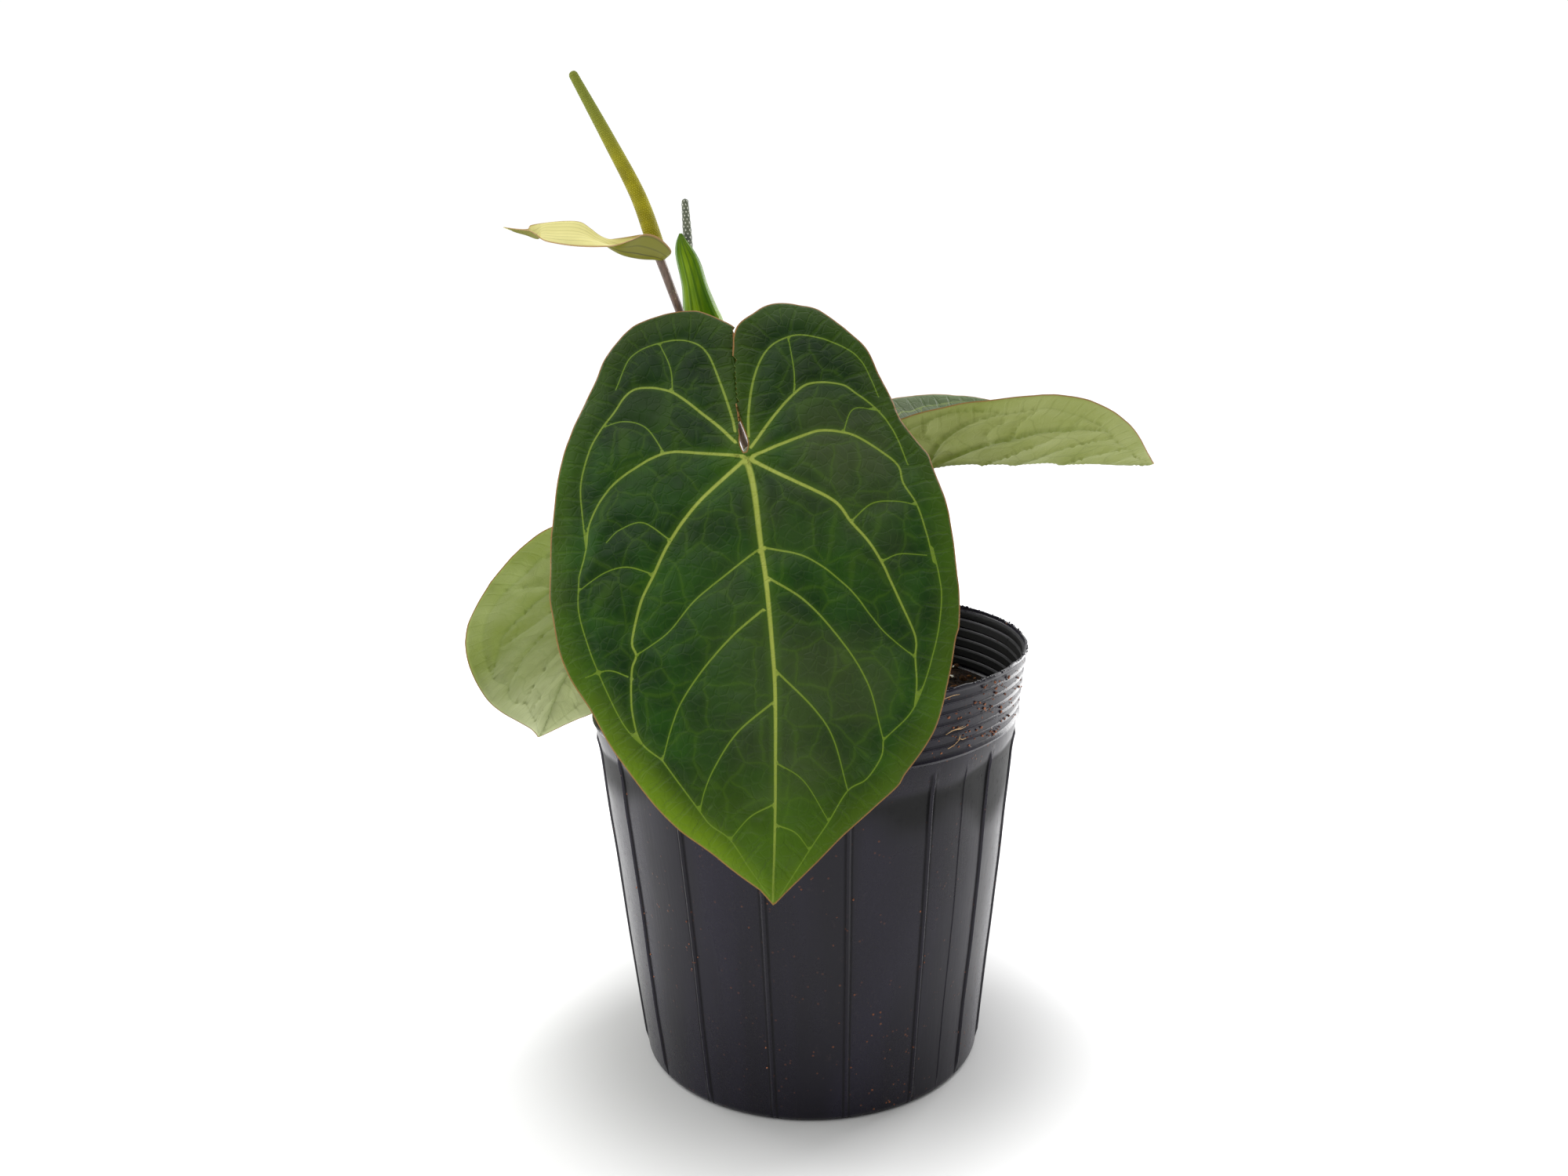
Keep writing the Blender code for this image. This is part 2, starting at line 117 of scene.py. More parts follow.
soft_box("key_light", (-0.55, -0.75, 1.35), (0, 0, 0.12), 1.1, 1.1, 5.0)
soft_box("right_strip", (0.9, 0.75, 0.35), (0, 0, 0.12), 0.55, 1.0, 13.0)
soft_box("left_strip", (-0.95, 0.7, 0.35), (0, 0, 0.12), 0.45, 1.0, 5.0)
soft_box("left_panel", (-1.15, -0.2, 0.45), (0, 0, 0.10), 0.7, 0.9, 3.5)


def srgb(red, green, blue):
    """A colour matched on the 0 to 255 scale, as a shader's linear colour."""
    shares = [value / 255 for value in (red, green, blue)]
    return (*[s / 12.92 if s <= 0.04045 else ((s + 0.055) / 1.055) ** 2.4 for s in shares], 1.0)


class Value:
    """A node's output. Sums on it add Math nodes."""

    def __init__(self, finish, socket):
        self.finish = finish
        self.socket = socket

    def maths(self, operation, other=0.0):
        return self.finish.node("Math", {"operation": operation}, {0: self, 1: other})

    def __add__(self, other):
        return self.maths("ADD", other)

    def __sub__(self, other):
        return self.maths("SUBTRACT", other)

    def __rsub__(self, other):
        return self.finish.node("Math", {"operation": "SUBTRACT"}, {0: other, 1: self})

    def __mul__(self, other):
        return self.maths("MULTIPLY", other)

    __radd__ = __add__
    __rmul__ = __mul__

    def most(self, other):
        return self.maths("MAXIMUM", other)

    def least(self, other):
        return self.maths("MINIMUM", other)

    def rises(self, low, high):
        """0 below low and 1 above high, with a smooth step between. It falls where low is the higher one."""
        settings = {"interpolation_type": "SMOOTHSTEP"}
        if low > high:
            return 1 - self.rises(high, low)
        return self.finish.node("MapRange", settings, {"Value": self, "From Min": low, "From Max": high})


class Finish:
    """A procedural material built round one Principled shader."""

    def __init__(self, name, **fixed):
        self.material = bpy.data.materials.new(name)
        self.material.use_nodes = True
        self.tree = self.material.node_tree
        self.shader = self.tree.nodes["Principled BSDF"]
        for socket, value in fixed.items():
            self.shader.inputs[socket.replace("_", " ").title().replace("Ior", "IOR")].default_value = value
        self.place = self.node("TexCoord", {}, {}, "Object")

    def node(self, kind, settings, inputs, output=0):
        node = self.tree.nodes.new("ShaderNode" + kind)
        for setting, value in settings.items():
            setattr(node, setting, value)
        for socket, value in inputs.items():
            self.feed(node.inputs[socket], value)
        return Value(self, node.outputs[output])

    def feed(self, socket, value):
        if isinstance(value, Value):
            self.tree.links.new(value.socket, socket)
        else:
            socket.default_value = value

    def grain(self, per_metre, detail=3.0, stretch=(1, 1, 1), rough=0.5):
        """Noise with so many waves a metre, from 0 to 1."""
        turned = self.node("Mapping", {}, {"Vector": self.place, "Scale": stretch})
        return self.node("TexNoise", {}, {"Vector": turned, "Scale": per_metre, "Detail": detail, "Roughness": rough})

    def cells(self, per_metre, feature="F1", place=None, jitter=1.0):
        """Distance from the middles or the borders of so many irregular cells a metre."""
        values = {"Vector": place or self.place, "Scale": per_metre, "Randomness": jitter}
        return self.node("TexVoronoi", {"feature": feature}, values, "Distance")

    def along(self, axis):
        return self.node("SeparateXYZ", {}, {"Vector": self.place}, axis)

    def from_axis(self):
        """Distance from the pot's upright axis, in metres."""
        flat = self.node("VectorMath", {"operation": "MULTIPLY"}, {0: self.place, 1: (1, 1, 0)})
        return self.node("VectorMath", {"operation": "LENGTH"}, {0: flat}, "Value")

    def worn(self, name):
        """A number that the mesh carries at each point."""
        return self.node("Attribute", {"attribute_name": name}, {}, "Fac")

    def blend(self, under, over, share):
        return self.node("Mix", {"data_type": "RGBA"}, {0: share, 6: under, 7: over}, 2)

    def finish(self, colour, roughness, height=None, depth=0.001, strength=1.0):
        self.feed(self.shader.inputs["Base Color"], colour)
        self.feed(self.shader.inputs["Roughness"], roughness)
        if height is not None:
            bump = self.node("Bump", {}, {"Strength": strength, "Distance": depth, "Height": height})
            self.feed(self.shader.inputs["Normal"], bump)
        return self.material


def pick_only(thing):
    """Leaves one object selected and active, so that an operator acts on it alone."""
    bpy.ops.object.select_all(action="DESELECT")
    thing.select_set(True)
    bpy.context.view_layer.objects.active = thing


def new_piece(name, material, nodes=()):
    """Names the active object, lays its material on and hands it to the frame."""
    piece = bpy.context.object
    piece.name = name
    piece.data.name = name
    pick_only(piece)
    bpy.ops.object.transform_apply(location=True, rotation=True, scale=True)
    piece.data.materials.clear()
    piece.data.materials.append(material)
    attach(piece, "root")
    if nodes:
        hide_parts(*nodes)
    return piece


bpy.ops.object.select_all(action="DESELECT")
bpy.ops.mesh.primitive_plane_add(size=30, location=(0, 0, -0.0001))
floor = bpy.context.object
floor.name = "floor"
white = Finish("white_floor")
# Painted shadow: the floor's white is darkened to grey in a soft ring round the pot's foot, standing in for its contact
# shadow.
painted_contact_shadow = white.from_axis().rises(0.125, 0.06) * 0.75
paper_white = white.blend(srgb(250, 250, 250), srgb(244, 244, 244), white.grain(3.0))
white.finish(white.blend(paper_white, srgb(176, 176, 176), painted_contact_shadow), 0.9)
floor.data.materials.append(white.material)


# ---- Nursery pot
# A thin grower's pot, blown from black polyethylene: a ribbed band under a rough-cut rim, a short shoulder,
# and a plain wall with sixteen upright beads and a mould seam. Its underside has a foot ring and eight drain holes.

MM = 0.001
POT_COLUMNS = 192
BEADS = 16
MIDDLE_RADIUS = 68
FIRST_BEAD = 9.375
BEAD_WIDTH = 0.9 * MM
RIDGE_HEIGHTS = (144.9, 141.3, 137.6, 134.0, 130.4)
LOWEST_RIDGE = 126.4
DRAIN_HOLES = 8


def pot_radius(height):
    """Outer radius in mm at a height in mm, without the ridges."""
    heights = (0, 22, 54, 84, 101, 113, 116, 119, 122, 125, 130, 136, 142, 147.4, 149.5)
    radii = (60.5, 62.8, 66.2, 69.3, 70.9, 71.9, 72.3, 73.0, 73.7, 74.0, 74.4, 75.1, 75.8, 76.7, 77.2)
    return float(np.interp(height, heights, radii))


def band_profile():
    """The ribbed band from its foot up to under the lip."""
    rows = []
    ridges = [(LOWEST_RIDGE, 1.3, 0.9), *[(z, 0.7, 0.6) for z in reversed(RIDGE_HEIGHTS)]]
    for middle, half_width, rise in ridges:
        for step, share in ((-1.0, 0.0), (-0.62, 0.62), (0.0, 1.0), (0.62, 0.62), (1.0, 0.0)):
            height = middle + step * half_width
            rows.append((pot_radius(height) + rise * share, height))
    return rows


wall_rows = [(pot_radius(z), z) for z in (1.6, 2.4, *range(6, 112, 4), 113, 115, 117, 119, 121.5, 124.2)]
lip_rows = [(76.3, 147.2), (76.5, 147.8), (77.3, 148.1), (77.5, 148.5), (77.5, 149.1), (77.2, 149.5)]
outside = [*wall_rows, *band_profile(), *lip_rows]
inside = [(radius - 0.8, height) for radius, height in reversed(outside[:-2]) if height > 5]
underside = [(8.0, 0.0), (21.5, 0.0), (22.0, 0.3), (23.0, 2.0), (52.5, 2.0), (53.5, 0.3), (54.0, 0.0), (58.6, 0.0),
             (59.9, 0.5)]
pot_profile = [*underside, *outside, (76.6, 149.5), *inside, (59.6, 2.9), (30.0, 2.9), (8.0, 2.9)]


def scale_ring(factor):
    """Scales what is selected about the upright axis."""
    bpy.ops.transform.resize(value=(factor, factor, 1), center_override=(0, 0, 0))


def drawn_up(columns, rows):
    """A closed round body from rings of (radius, height) in mm, each drawn out of the one before."""
    bpy.ops.object.select_all(action="DESELECT")
    radius, height = rows[0]
    bpy.ops.mesh.primitive_circle_add(vertices=columns, radius=radius * MM, fill_type="NGON",
                                      location=(0, 0, height * MM))
    bpy.ops.object.mode_set(mode="EDIT")
    bpy.ops.mesh.select_mode(type="EDGE")
    bpy.ops.mesh.select_all(action="SELECT")
    bpy.ops.mesh.region_to_loop()
    for (radius, height), (next_radius, next_height) in zip(rows, rows[1:]):
        bpy.ops.mesh.extrude_region_move(TRANSFORM_OT_translate={"value": (0, 0, (next_height - height) * MM)})
        scale_ring(next_radius / radius)
    bpy.ops.mesh.edge_face_add()
    bpy.ops.mesh.select_all(action="SELECT")
    bpy.ops.mesh.normals_make_consistent(inside=False)
    bpy.ops.mesh.select_all(action="DESELECT")
    bpy.ops.object.mode_set(mode="OBJECT")
    return bpy.context.object


pot = drawn_up(POT_COLUMNS, pot_profile)


def azimuth(point):
    """Degrees round the pot from its front towards its right."""
    return math.degrees(math.atan2(point.x, -point.y)) % 360


def on_wall(point):
    """Whether a point lies on the outside of the plain wall, where the beads run."""
    height = point.z / MM
    return 2.2 < height < 122 and math.hypot(point.x, point.y) / MM > pot_radius(height) - 0.4


def raise_lines(thing, first, spacing, width, pushes):
    """Bevels the upright edges at even angles into narrow strips and pushes the strips outwards."""
    def off_line(point):
        turn = (azimuth(point) - first + spacing / 2) % spacing - spacing / 2
        return abs(math.radians(turn) * math.hypot(point.x, point.y))
    points = [vertex.co.copy() for vertex in thing.data.vertices]
    for edge in thing.data.edges:
        ends = [points[k] for k in edge.vertices]
        edge.select = all(off_line(end) < 0.05 * MM and on_wall(end) for end in ends)
    bpy.ops.object.mode_set(mode="EDIT")
    bpy.ops.mesh.bevel(offset=width, segments=4, profile=0.5, affect="EDGES")
    for low, high, push in pushes:
        bpy.ops.mesh.select_all(action="DESELECT")
        bpy.ops.object.mode_set(mode="OBJECT")
        for vertex in thing.data.vertices:
            away = off_line(vertex.co)
            vertex.select = low <= away < high and on_wall(vertex.co) and 3 < vertex.co.z / MM < 121
        bpy.ops.object.mode_set(mode="EDIT")
        bpy.ops.mesh.select_mode(type="VERT")
        scale_ring(1 + push / MIDDLE_RADIUS)
        bpy.ops.mesh.select_mode(type="EDGE")
    bpy.ops.mesh.select_all(action="DESELECT")
    bpy.ops.object.mode_set(mode="OBJECT")


raise_lines(pot, FIRST_BEAD, 360 / BEADS, BEAD_WIDTH,
            [(0, 0.15 * MM, 0.75), (0.15 * MM, 0.6 * MM, 0.55)])
raise_lines(pot, FIRST_BEAD + 1.5 * 360 / BEADS, 180, 0.4 * MM, [(0, 0.1 * MM, 0.25)])

for vertex in pot.data.vertices:
    point = vertex.co
    height = point.z / MM
    wave = noise.noise(point * 22) * 0.45 + noise.noise(point * 60 + Vector((3, 1, 7))) * 0.13
    factor = 1 + wave * min(height / 30, 1.0) / 72
    point.x *= factor
    point.y *= factor
    if height > 148.8:
        direction = Vector((point.x, point.y, 0)).normalized()
        point.z += (noise.noise(direction * 9) * 0.35 + noise.noise(direction * 38) * 0.3) * MM
        point.xy += direction.xy * noise.noise(direction * 30 + Vector((5, 0, 0))) * 0.25 * MM

for k in range(DRAIN_HOLES):
    turn = math.tau * (k + 0.5) / DRAIN_HOLES
    bpy.ops.object.select_all(action="DESELECT")
    spot = (46 * MM * math.cos(turn), 46 * MM * math.sin(turn), 2.4 * MM)
    bpy.ops.mesh.primitive_cylinder_add(vertices=24, radius=4.5 * MM, depth=4 * MM, location=spot)
    drill = bpy.context.object
    pick_only(pot)
    drilled = pot.modifiers.new("drain_hole", "BOOLEAN")
    drilled.operation = "DIFFERENCE"
    drilled.solver = "EXACT"
    drilled.object = drill
    bpy.ops.object.modifier_apply(modifier=drilled.name)
    bpy.data.objects.remove(drill, do_unlink=True)

plastic = Finish("black_plastic", specular_ior_level=0.22)
beads_round = plastic.along("X").maths("ARCTAN2", plastic.along("Y") * -1) * (BEADS / math.tau)
from_bead = (beads_round - FIRST_BEAD * BEADS / 360 + BEADS).maths("PINGPONG", 0.5)
# Painted shade: thin dark lines along both feet of each bead on the plain wall, where the beads shade the wall.
painted_bead_shade = from_bead.rises(0.07, 0.045) * from_bead.rises(0.015, 0.03) * plastic.along("Z").rises(0.123, 0.121)
tall_bands = plastic.grain(55, 2, (1, 1, 0.06))
# Painted shade: the inside of the wall, where the pot shades itself, is made near black and rougher.
painted_inner_shade = (plastic.from_axis() - plastic.along("Z") * 0.115).rises(0.0594, 0.0591)
streaks = plastic.grain(900, 3, (1, 1, 0.03))
fog = plastic.grain(28, 4, (1, 1, 0.6))
dust = plastic.grain(420, 6, (1, 1, 0.8), 0.65)
crumbs = plastic.cells(520)
patches = plastic.grain(45, 3, (1, 1, 0.5)).rises(0.5, 0.7)
specks = crumbs.rises(0.26, 0.14) * plastic.grain(240, 2).rises(0.54, 0.64) * (patches * 0.8 + 0.2)
black = plastic.blend(srgb(23, 20, 32), srgb(29, 26, 40), fog.rises(0.35, 0.7))
# Darker upright bands of random tone, and the painted shade at the bead feet.
black = plastic.blend(black, srgb(14, 12, 18), (tall_bands.rises(0.4, 0.65) * 0.6).most(painted_bead_shade * 0.9))
black = plastic.blend(black, srgb(70, 58, 56), dust.rises(0.56, 0.78) * (patches * 0.35 + 0.06))
black = plastic.blend(black, srgb(132, 80, 50), specks * 0.9)
# Painted shade inside the pot.
black = plastic.blend(black, srgb(5, 5, 7), painted_inner_shade)
gloss = (0.2 + fog * 0.06 + tall_bands * 0.08 + dust.rises(0.5, 0.8) * 0.12 + specks * 0.4 + painted_bead_shade * 0.3
         + painted_inner_shade * 0.3)
ripple = streaks * 0.3 + dust * 0.06 + specks * 1.6
pick_only(pot)
bpy.ops.object.shade_smooth_by_angle(angle=math.radians(42))
new_piece("nursery_pot_shell", plastic.finish(black, gloss, ripple, 0.0001), ["nursery_pot"])

# Burrs left by the rough cut of the rim.
bpy.ops.object.select_all(action="DESELECT")
bpy.ops.mesh.primitive_ico_sphere_add(subdivisions=1, radius=0.5)
burr_shape = bpy.context.object.data
bpy.data.objects.remove(bpy.context.object, do_unlink=True)


def scattered(name, places, shape, material):
    """Many small copies of one shape in one piece. Each place is a matrix."""
    grains = bmesh.new()
    for place in places:
        copy = shape.copy()
        copy.transform(place)
        grains.from_mesh(copy)
        bpy.data.meshes.remove(copy)
    mesh = bpy.data.meshes.new(name)
    grains.to_mesh(mesh)
    grains.free()
    thing = bpy.data.objects.new(name, mesh)
    scene.collection.objects.link(thing)
    pick_only(thing)
    return new_piece(name, material)


def lying(spot, size, turn, tilt=0.0):
    """Where a small shape lies: its place, its size and how it is turned."""
    return (Matrix.Translation(spot) @ Matrix.Rotation(turn, 4, "Z") @ Matrix.Rotation(tilt, 4, "X")
            @ Matrix.Diagonal((*size, 1.0)))


BURRS = 420

draws = random.Random(5)
burrs = []
for k in range(BURRS):
    turn = draws.uniform(0, math.tau)
    reach = draws.uniform(76.7, 77.6)
    spot = Vector((reach * math.sin(turn), -reach * math.cos(turn), draws.uniform(149.1, 149.7))) * MM
    size = (draws.uniform(0.4, 1.6) * MM, draws.uniform(0.25, 0.6) * MM, draws.uniform(0.3, 0.9) * MM)
    burrs.append(lying(spot, size, turn + draws.uniform(-0.4, 0.4), draws.uniform(-0.7, 0.7)))
scattered("rim_burrs", burrs, burr_shape, plastic.material)


# ---- Potting mix
# Loose coir, fine bark and a little perlite, filled to below the rim. The body fills the pot down to its floor.
# Its top is level, under a layer of loose crumbs and white grains.

MIX_TOP = 127.0
LOOSE_CRUMBS = 900

wall_foot = [(57.5, 3.3), (59.0, 5.0)]
wall = [(pot_radius(height) - 1.5, height) for height in range(9, 121, 6)]
top = [(72.2 - 1.6 * ring, MIX_TOP) for ring in range(1, 45)]
mix = drawn_up(128, [*wall_foot, *wall, (72.0, 123), (72.2, 126.5), *top])

coir = Finish("potting_mix", specular_ior_level=0.1)
clods = coir.cells(420)
fibres = coir.grain(500, 6, (1, 0.35, 1), 0.7)
earth = coir.blend(srgb(14, 10, 8), srgb(50, 34, 24), fibres.rises(0.4, 0.72))
earth = coir.blend(earth, srgb(84, 58, 40), coir.cells(260).rises(0.25, 0.05) * 0.5)
pick_only(mix)
bpy.ops.object.shade_smooth_by_angle(angle=math.radians(60))
new_piece("potting_mix_fill", coir.finish(earth, 0.85 + fibres * 0.1, fibres + clods * 0.6, 0.0009),
          ["potting_mix"])


def small_shape(detail, seed, rough):
    """A lumpy grain one unit across, as a mesh that copies are made from."""
    bpy.ops.object.select_all(action="DESELECT")
    bpy.ops.mesh.primitive_ico_sphere_add(subdivisions=detail, radius=0.5)
    thing = bpy.context.object
    for vertex in thing.data.vertices:
        vertex.co *= 1 + rough * noise.noise(vertex.co * 2.2 + Vector((seed, 0, 0)))
    mesh = thing.data
    bpy.data.objects.remove(thing, do_unlink=True)
    return mesh


draws = random.Random(11)
crumb_shape = small_shape(1, 4.0, 0.9)
crumb_places, perlite_places = [], []
for k in range(LOOSE_CRUMBS):
    reach = 71 * math.sqrt(draws.random())
    turn = draws.uniform(0, math.tau)
    spot = Vector((reach * math.cos(turn), reach * math.sin(turn), MIX_TOP + draws.uniform(0, 1.5))) * MM
    across = draws.uniform(0.9, 3.2) * MM
    size = (across, across * draws.uniform(0.4, 0.9), across * draws.uniform(0.3, 0.7))
    matrix = lying(spot, size, draws.uniform(0, math.tau), draws.uniform(-0.6, 0.6))
    (perlite_places if k % 13 == 0 else crumb_places).append(matrix)
bark_bits = Finish("bark_crumbs", specular_ior_level=0.1)
bit_tone = bark_bits.grain(300, 5)
bit_colour = bark_bits.blend(srgb(30, 20, 15), srgb(104, 68, 44), bit_tone.rises(0.4, 0.7))
scattered("mix_crumbs", crumb_places, crumb_shape, bark_bits.finish(bit_colour, 0.85, bit_tone, 0.0004))
perlite = Finish("perlite")
perlite_tone = perlite.grain(900, 4)
perlite_colour = perlite.blend(srgb(190, 184, 172), srgb(235, 232, 226), perlite_tone)
scattered("perlite_grains", perlite_places, crumb_shape, perlite.finish(perlite_colour, 0.8, perlite_tone, 0.0003))


def smooth_route(points, samples):
    """A smooth curve through points of any number of values, by Catmull-Rom."""
    points = np.array(points, float)
    ends = np.vstack([2 * points[0] - points[1], points, 2 * points[-1] - points[-2]])
    share = (np.arange(samples) / samples)[:, None]
    route = []
    for before, start, stop, after in zip(ends, ends[1:], ends[2:], ends[3:]):
        curve = start * 2 + (stop - before) * share + (2 * before - 5 * start + 4 * stop - after) * share ** 2
        route.append((curve + (3 * start - before - 3 * stop + after) * share ** 3) / 2)
    return np.vstack([*route, points[-1:]])


def even_skin(merge=None, fill=False):
    """Merges points of the active mesh that lie together, fills its open ends and turns its faces outwards."""
    bpy.ops.object.mode_set(mode="EDIT")
    bpy.ops.mesh.select_all(action="SELECT")
    if merge:
        bpy.ops.mesh.remove_doubles(threshold=merge)
    if fill:
        bpy.ops.mesh.fill_holes(sides=0)
    bpy.ops.mesh.normals_make_consistent(inside=False)
    bpy.ops.object.mode_set(mode="OBJECT")


def grown_stalk(name, points, radius, swells, material, nodes, sides=8):
    """A round stalk along a smooth route, with one radius factor a point."""
    bpy.ops.object.select_all(action="DESELECT")
    bpy.ops.curve.primitive_nurbs_path_add()
    stalk = bpy.context.object
    curve = stalk.data
    curve.splines.clear()
    route = smooth_route([(*point, swell) for point, swell in zip(points, swells)], 10)
    spline = curve.splines.new("POLY")
    spline.points.add(len(route) - 1)
    for knot, (x, y, z, swell) in zip(spline.points, route):
        knot.co = (x, y, z, 1.0)
        knot.radius = swell
    curve.dimensions = "3D"
    curve.bevel_depth = radius
    curve.bevel_resolution = sides
    curve.use_fill_caps = True
    pick_only(stalk)
    bpy.ops.object.convert(target="MESH")
    even_skin(0.01 * MM)
    for vertex in stalk.data.vertices:
        near = vertex.co * 150
        vertex.co += Vector((noise.noise(near), noise.noise(near + Vector((9, 0, 0))), 0)) * 0.12 * MM
    bpy.ops.object.shade_smooth_by_angle(angle=math.radians(60))
    return new_piece(name, material, nodes)


# Crumbs of mix and a few straws that stuck to the ribbed band, most of them at the plant's right.
band_places = []
for k in range(150):
    turn = math.radians(draws.gauss(50, 13) if k < 120 else draws.uniform(0, 360))
    height = draws.uniform(125, 147)
    across = draws.uniform(0.35, 1.3) * (0.6 if k > 120 else 1.0)
    reach = pot_radius(height) + 0.25
    spot = Vector((reach * math.sin(turn), -reach * math.cos(turn), height)) * MM
    size = Vector((across, across * 0.6, across * 0.8)) * MM
    band_places.append(lying(spot, size, turn, draws.uniform(-1, 1)))
for k in range(46):
    bead = math.radians(FIRST_BEAD + 360 / BEADS * draws.randrange(BEADS))
    height = draws.uniform(6, 118)
    reach = pot_radius(height) + 0.15
    turn = bead + draws.choice((-1.6, 1.6)) / reach
    spot = Vector((reach * math.sin(turn), -reach * math.cos(turn), height)) * MM
    across = draws.uniform(0.3, 0.7) * MM
    band_places.append(lying(spot, (across, across * 0.5, across * 1.2), turn, 0.0))
straw = Finish("straw")
straw_tone = straw.grain(900, 3)
straw.finish(straw.blend(srgb(170, 128, 84), srgb(214, 182, 134), straw_tone), 0.7, straw_tone, 0.0002)
for k, (turn, height, far_turn, far_height) in enumerate(((34.0, 134.4, 39.5, 136.0), (35.5, 135.0, 40.5, 135.4),
                                                          (35.0, 129.2, 39.0, 131.6),
                                                          (39.0, 131.6, 41.0, 131.0),
                                                          (38.8, 133.0, 38.4, 131.0),
                                                          (31.0, 146.6, 37.0, 147.2))):
    route = []
    for share in (0.0, 0.35, 0.7, 1.0):
        angle = math.radians(turn + (far_turn - turn) * share)
        level = height + (far_height - height) * share + 0.25 * math.sin(share * 5 + k)
        reach = pot_radius(level) + 0.75
        route.append((reach * math.sin(angle) * MM, -reach * math.cos(angle) * MM, level * MM))
    grown_stalk(f"straw_{k + 1}", route, 0.13 * MM, [0.6, 1.0, 0.9, 0.5], straw.material, [], 2)
stuck = Finish("stuck_crumbs")
stuck_tone = stuck.grain(500, 3)
stuck_colour = stuck.blend(srgb(96, 56, 38), srgb(168, 106, 72), stuck_tone.rises(0.35, 0.7))
scattered("stuck_crumbs", band_places, crumb_shape, stuck.finish(stuck_colour, 0.9, stuck_tone, 0.0003))


# ---- Stalks
# Round, smooth leaf stalks, each with a thicker joint where it meets its blade, and two thinner
# purple-brown flower stalks. All of them rise from the top of the short crown.

CROWN_TOP = 138.3 * MM


def from_crown(x, y):
    """A stalk's first points, straight up out of the crown."""
    return [(x, y, CROWN_TOP - 1.5 * MM), (x * 1.02, y * 1.02, CROWN_TOP + 10 * MM)]


def stalk_skin(name, dark, light, flush, roughness=0.42):
    """Fine lengthwise lines, small pale lenticels and a flush of another colour."""
    skin = Finish(name, coat_weight=0.08)
    lines = skin.grain(1400, 3, (1, 1, 0.12))
    spots = skin.cells(700).rises(0.22, 0.1) * skin.grain(200, 2).rises(0.5, 0.62)
    colour = skin.blend(dark, light, lines.rises(0.3, 0.7))
    colour = skin.blend(colour, flush, skin.grain(60, 3).rises(0.45, 0.7) * 0.7)
    colour = skin.blend(colour, srgb(170, 165, 120), spots * 0.5)
    return skin.finish(colour, roughness + lines * 0.12, lines + spots, 0.0002, 0.6)


petiole_skin = stalk_skin("petiole_skin", srgb(72, 78, 34), srgb(104, 112, 52), srgb(96, 72, 48))
purple_skin = stalk_skin("flower_stalk_skin", srgb(70, 48, 44), srgb(112, 84, 74), srgb(86, 78, 50))


# ---- Leaves
# Three leathery heart-shaped blades. Ribs spread from the sinus and meet a vein inside the margin, with quilted
# skin between them. The upper side is dark satin green with yellow-green ribs, the underside pale and matt with
# raised ribs, and a thin brown-pink line edges the blade.

class Blade:
    """Carries flat leaf coordinates (across, along) onto a curved blade.

    The midrib is an arc from the sinus to the tip. Each half leaves it at the fold angle and curls evenly
    towards its margin. curls holds the left half's curl and the right half's.
    """

    def __init__(self, sinus, tip, facing, bend, fold, fold_along, curls):
        self.sinus = Vector(sinus)
        chord = Vector(tip) - self.sinus
        self.length = chord.length
        self.down = chord.normalized()
        facing = Vector(facing)
        self.facing = (facing - self.down * facing.dot(self.down)).normalized()
        self.side = self.facing.cross(self.down)
        self.bend, self.fold, self.fold_along, self.curls = bend, fold, fold_along, curls
        self.start_angle = math.asin(min(0.999, bend * self.length / 2))
        self.stretch = 2 * self.start_angle / (bend * self.length)

    @staticmethod
    def arc(curvature, distance, angle):
        end = angle + curvature * distance
        return (math.sin(end) - math.sin(angle)) / curvature, (math.cos(angle) - math.cos(end)) / curvature

    def place(self, across, along):
        along = along * self.stretch
        forward, rise = self.arc(-self.bend, along, self.start_angle)
        angle = self.start_angle - self.bend * along
        facing = self.facing * math.cos(angle) - self.down * math.sin(angle)
        out, lift = self.arc(self.curls[1 if across > 0 else 0], abs(across), self.fold + self.fold_along * along)
        on_midrib = self.sinus + self.down * forward + self.facing * rise
        return on_midrib + self.side * math.copysign(out, across) + facing * lift

    def upward(self, across, along):
        """Direction of the upper side at a point."""
        step = 0.4 * MM
        over = self.place(across + step, along) - self.place(across - step, along)
        down = self.place(across, along + step) - self.place(across, along - step)
        return down.cross(over).normalized()


FRONT = Blade((-0.0172, -0.068, 0.2228), (-0.0116, -0.113, 0.1021), (0, -1, 0.3), 2.2, -0.03, 0.01, (-3.0, -3.0))
RIGHT = Blade((0.042, -0.009, 0.211), (0.1262, 0.0196, 0.2062), (0.025, 0.084, 0.996), 0.4, 0.49, -0.86, (5.4, 5.4))
LEFT = Blade((-0.029, 0.016, 0.183), (-0.111, 0.083, 0.088), (-0.37, 0.57, 0.73), 5.8, 0.0, -4.1, (4.5, 1.3))

# Outline of the front leaf in mm from its sinus, as (across, along): down its left side, then down its right one.
LEFT_EDGE = [
    (-0.4, -1.2), (-1.3, -4), (-1.2, -7.6), (-0.8, -13), (-1.8, -20), (-1.7, -29), (-1.1, -35),
    (-0.9, -38.5), (-1.6, -42.5),
    (-9.5, -48.4), (-15.2, -49.7), (-23.8, -48.9), (-32.4, -45.7), (-40.4, -37.3), (-44, -30.3), (-48.3, -21.7),
    (-51.9, -13.1), (-54.7, -4.6), (-56.6, 3.9), (-58.1, 12.6), (-59.3, 20.9), (-59.6, 29.3), (-59.8, 37.5),
    (-59, 42.8),
    (-57.2, 53.4), (-53.6, 63.3), (-49.1, 70.8), (-43.8, 81.3), (-37.9, 90.3), (-31.5, 99.2), (-24.8, 106.4),
    (-16.8, 112.9), (-9.5, 119.4), (-3.4, 124.3),
]
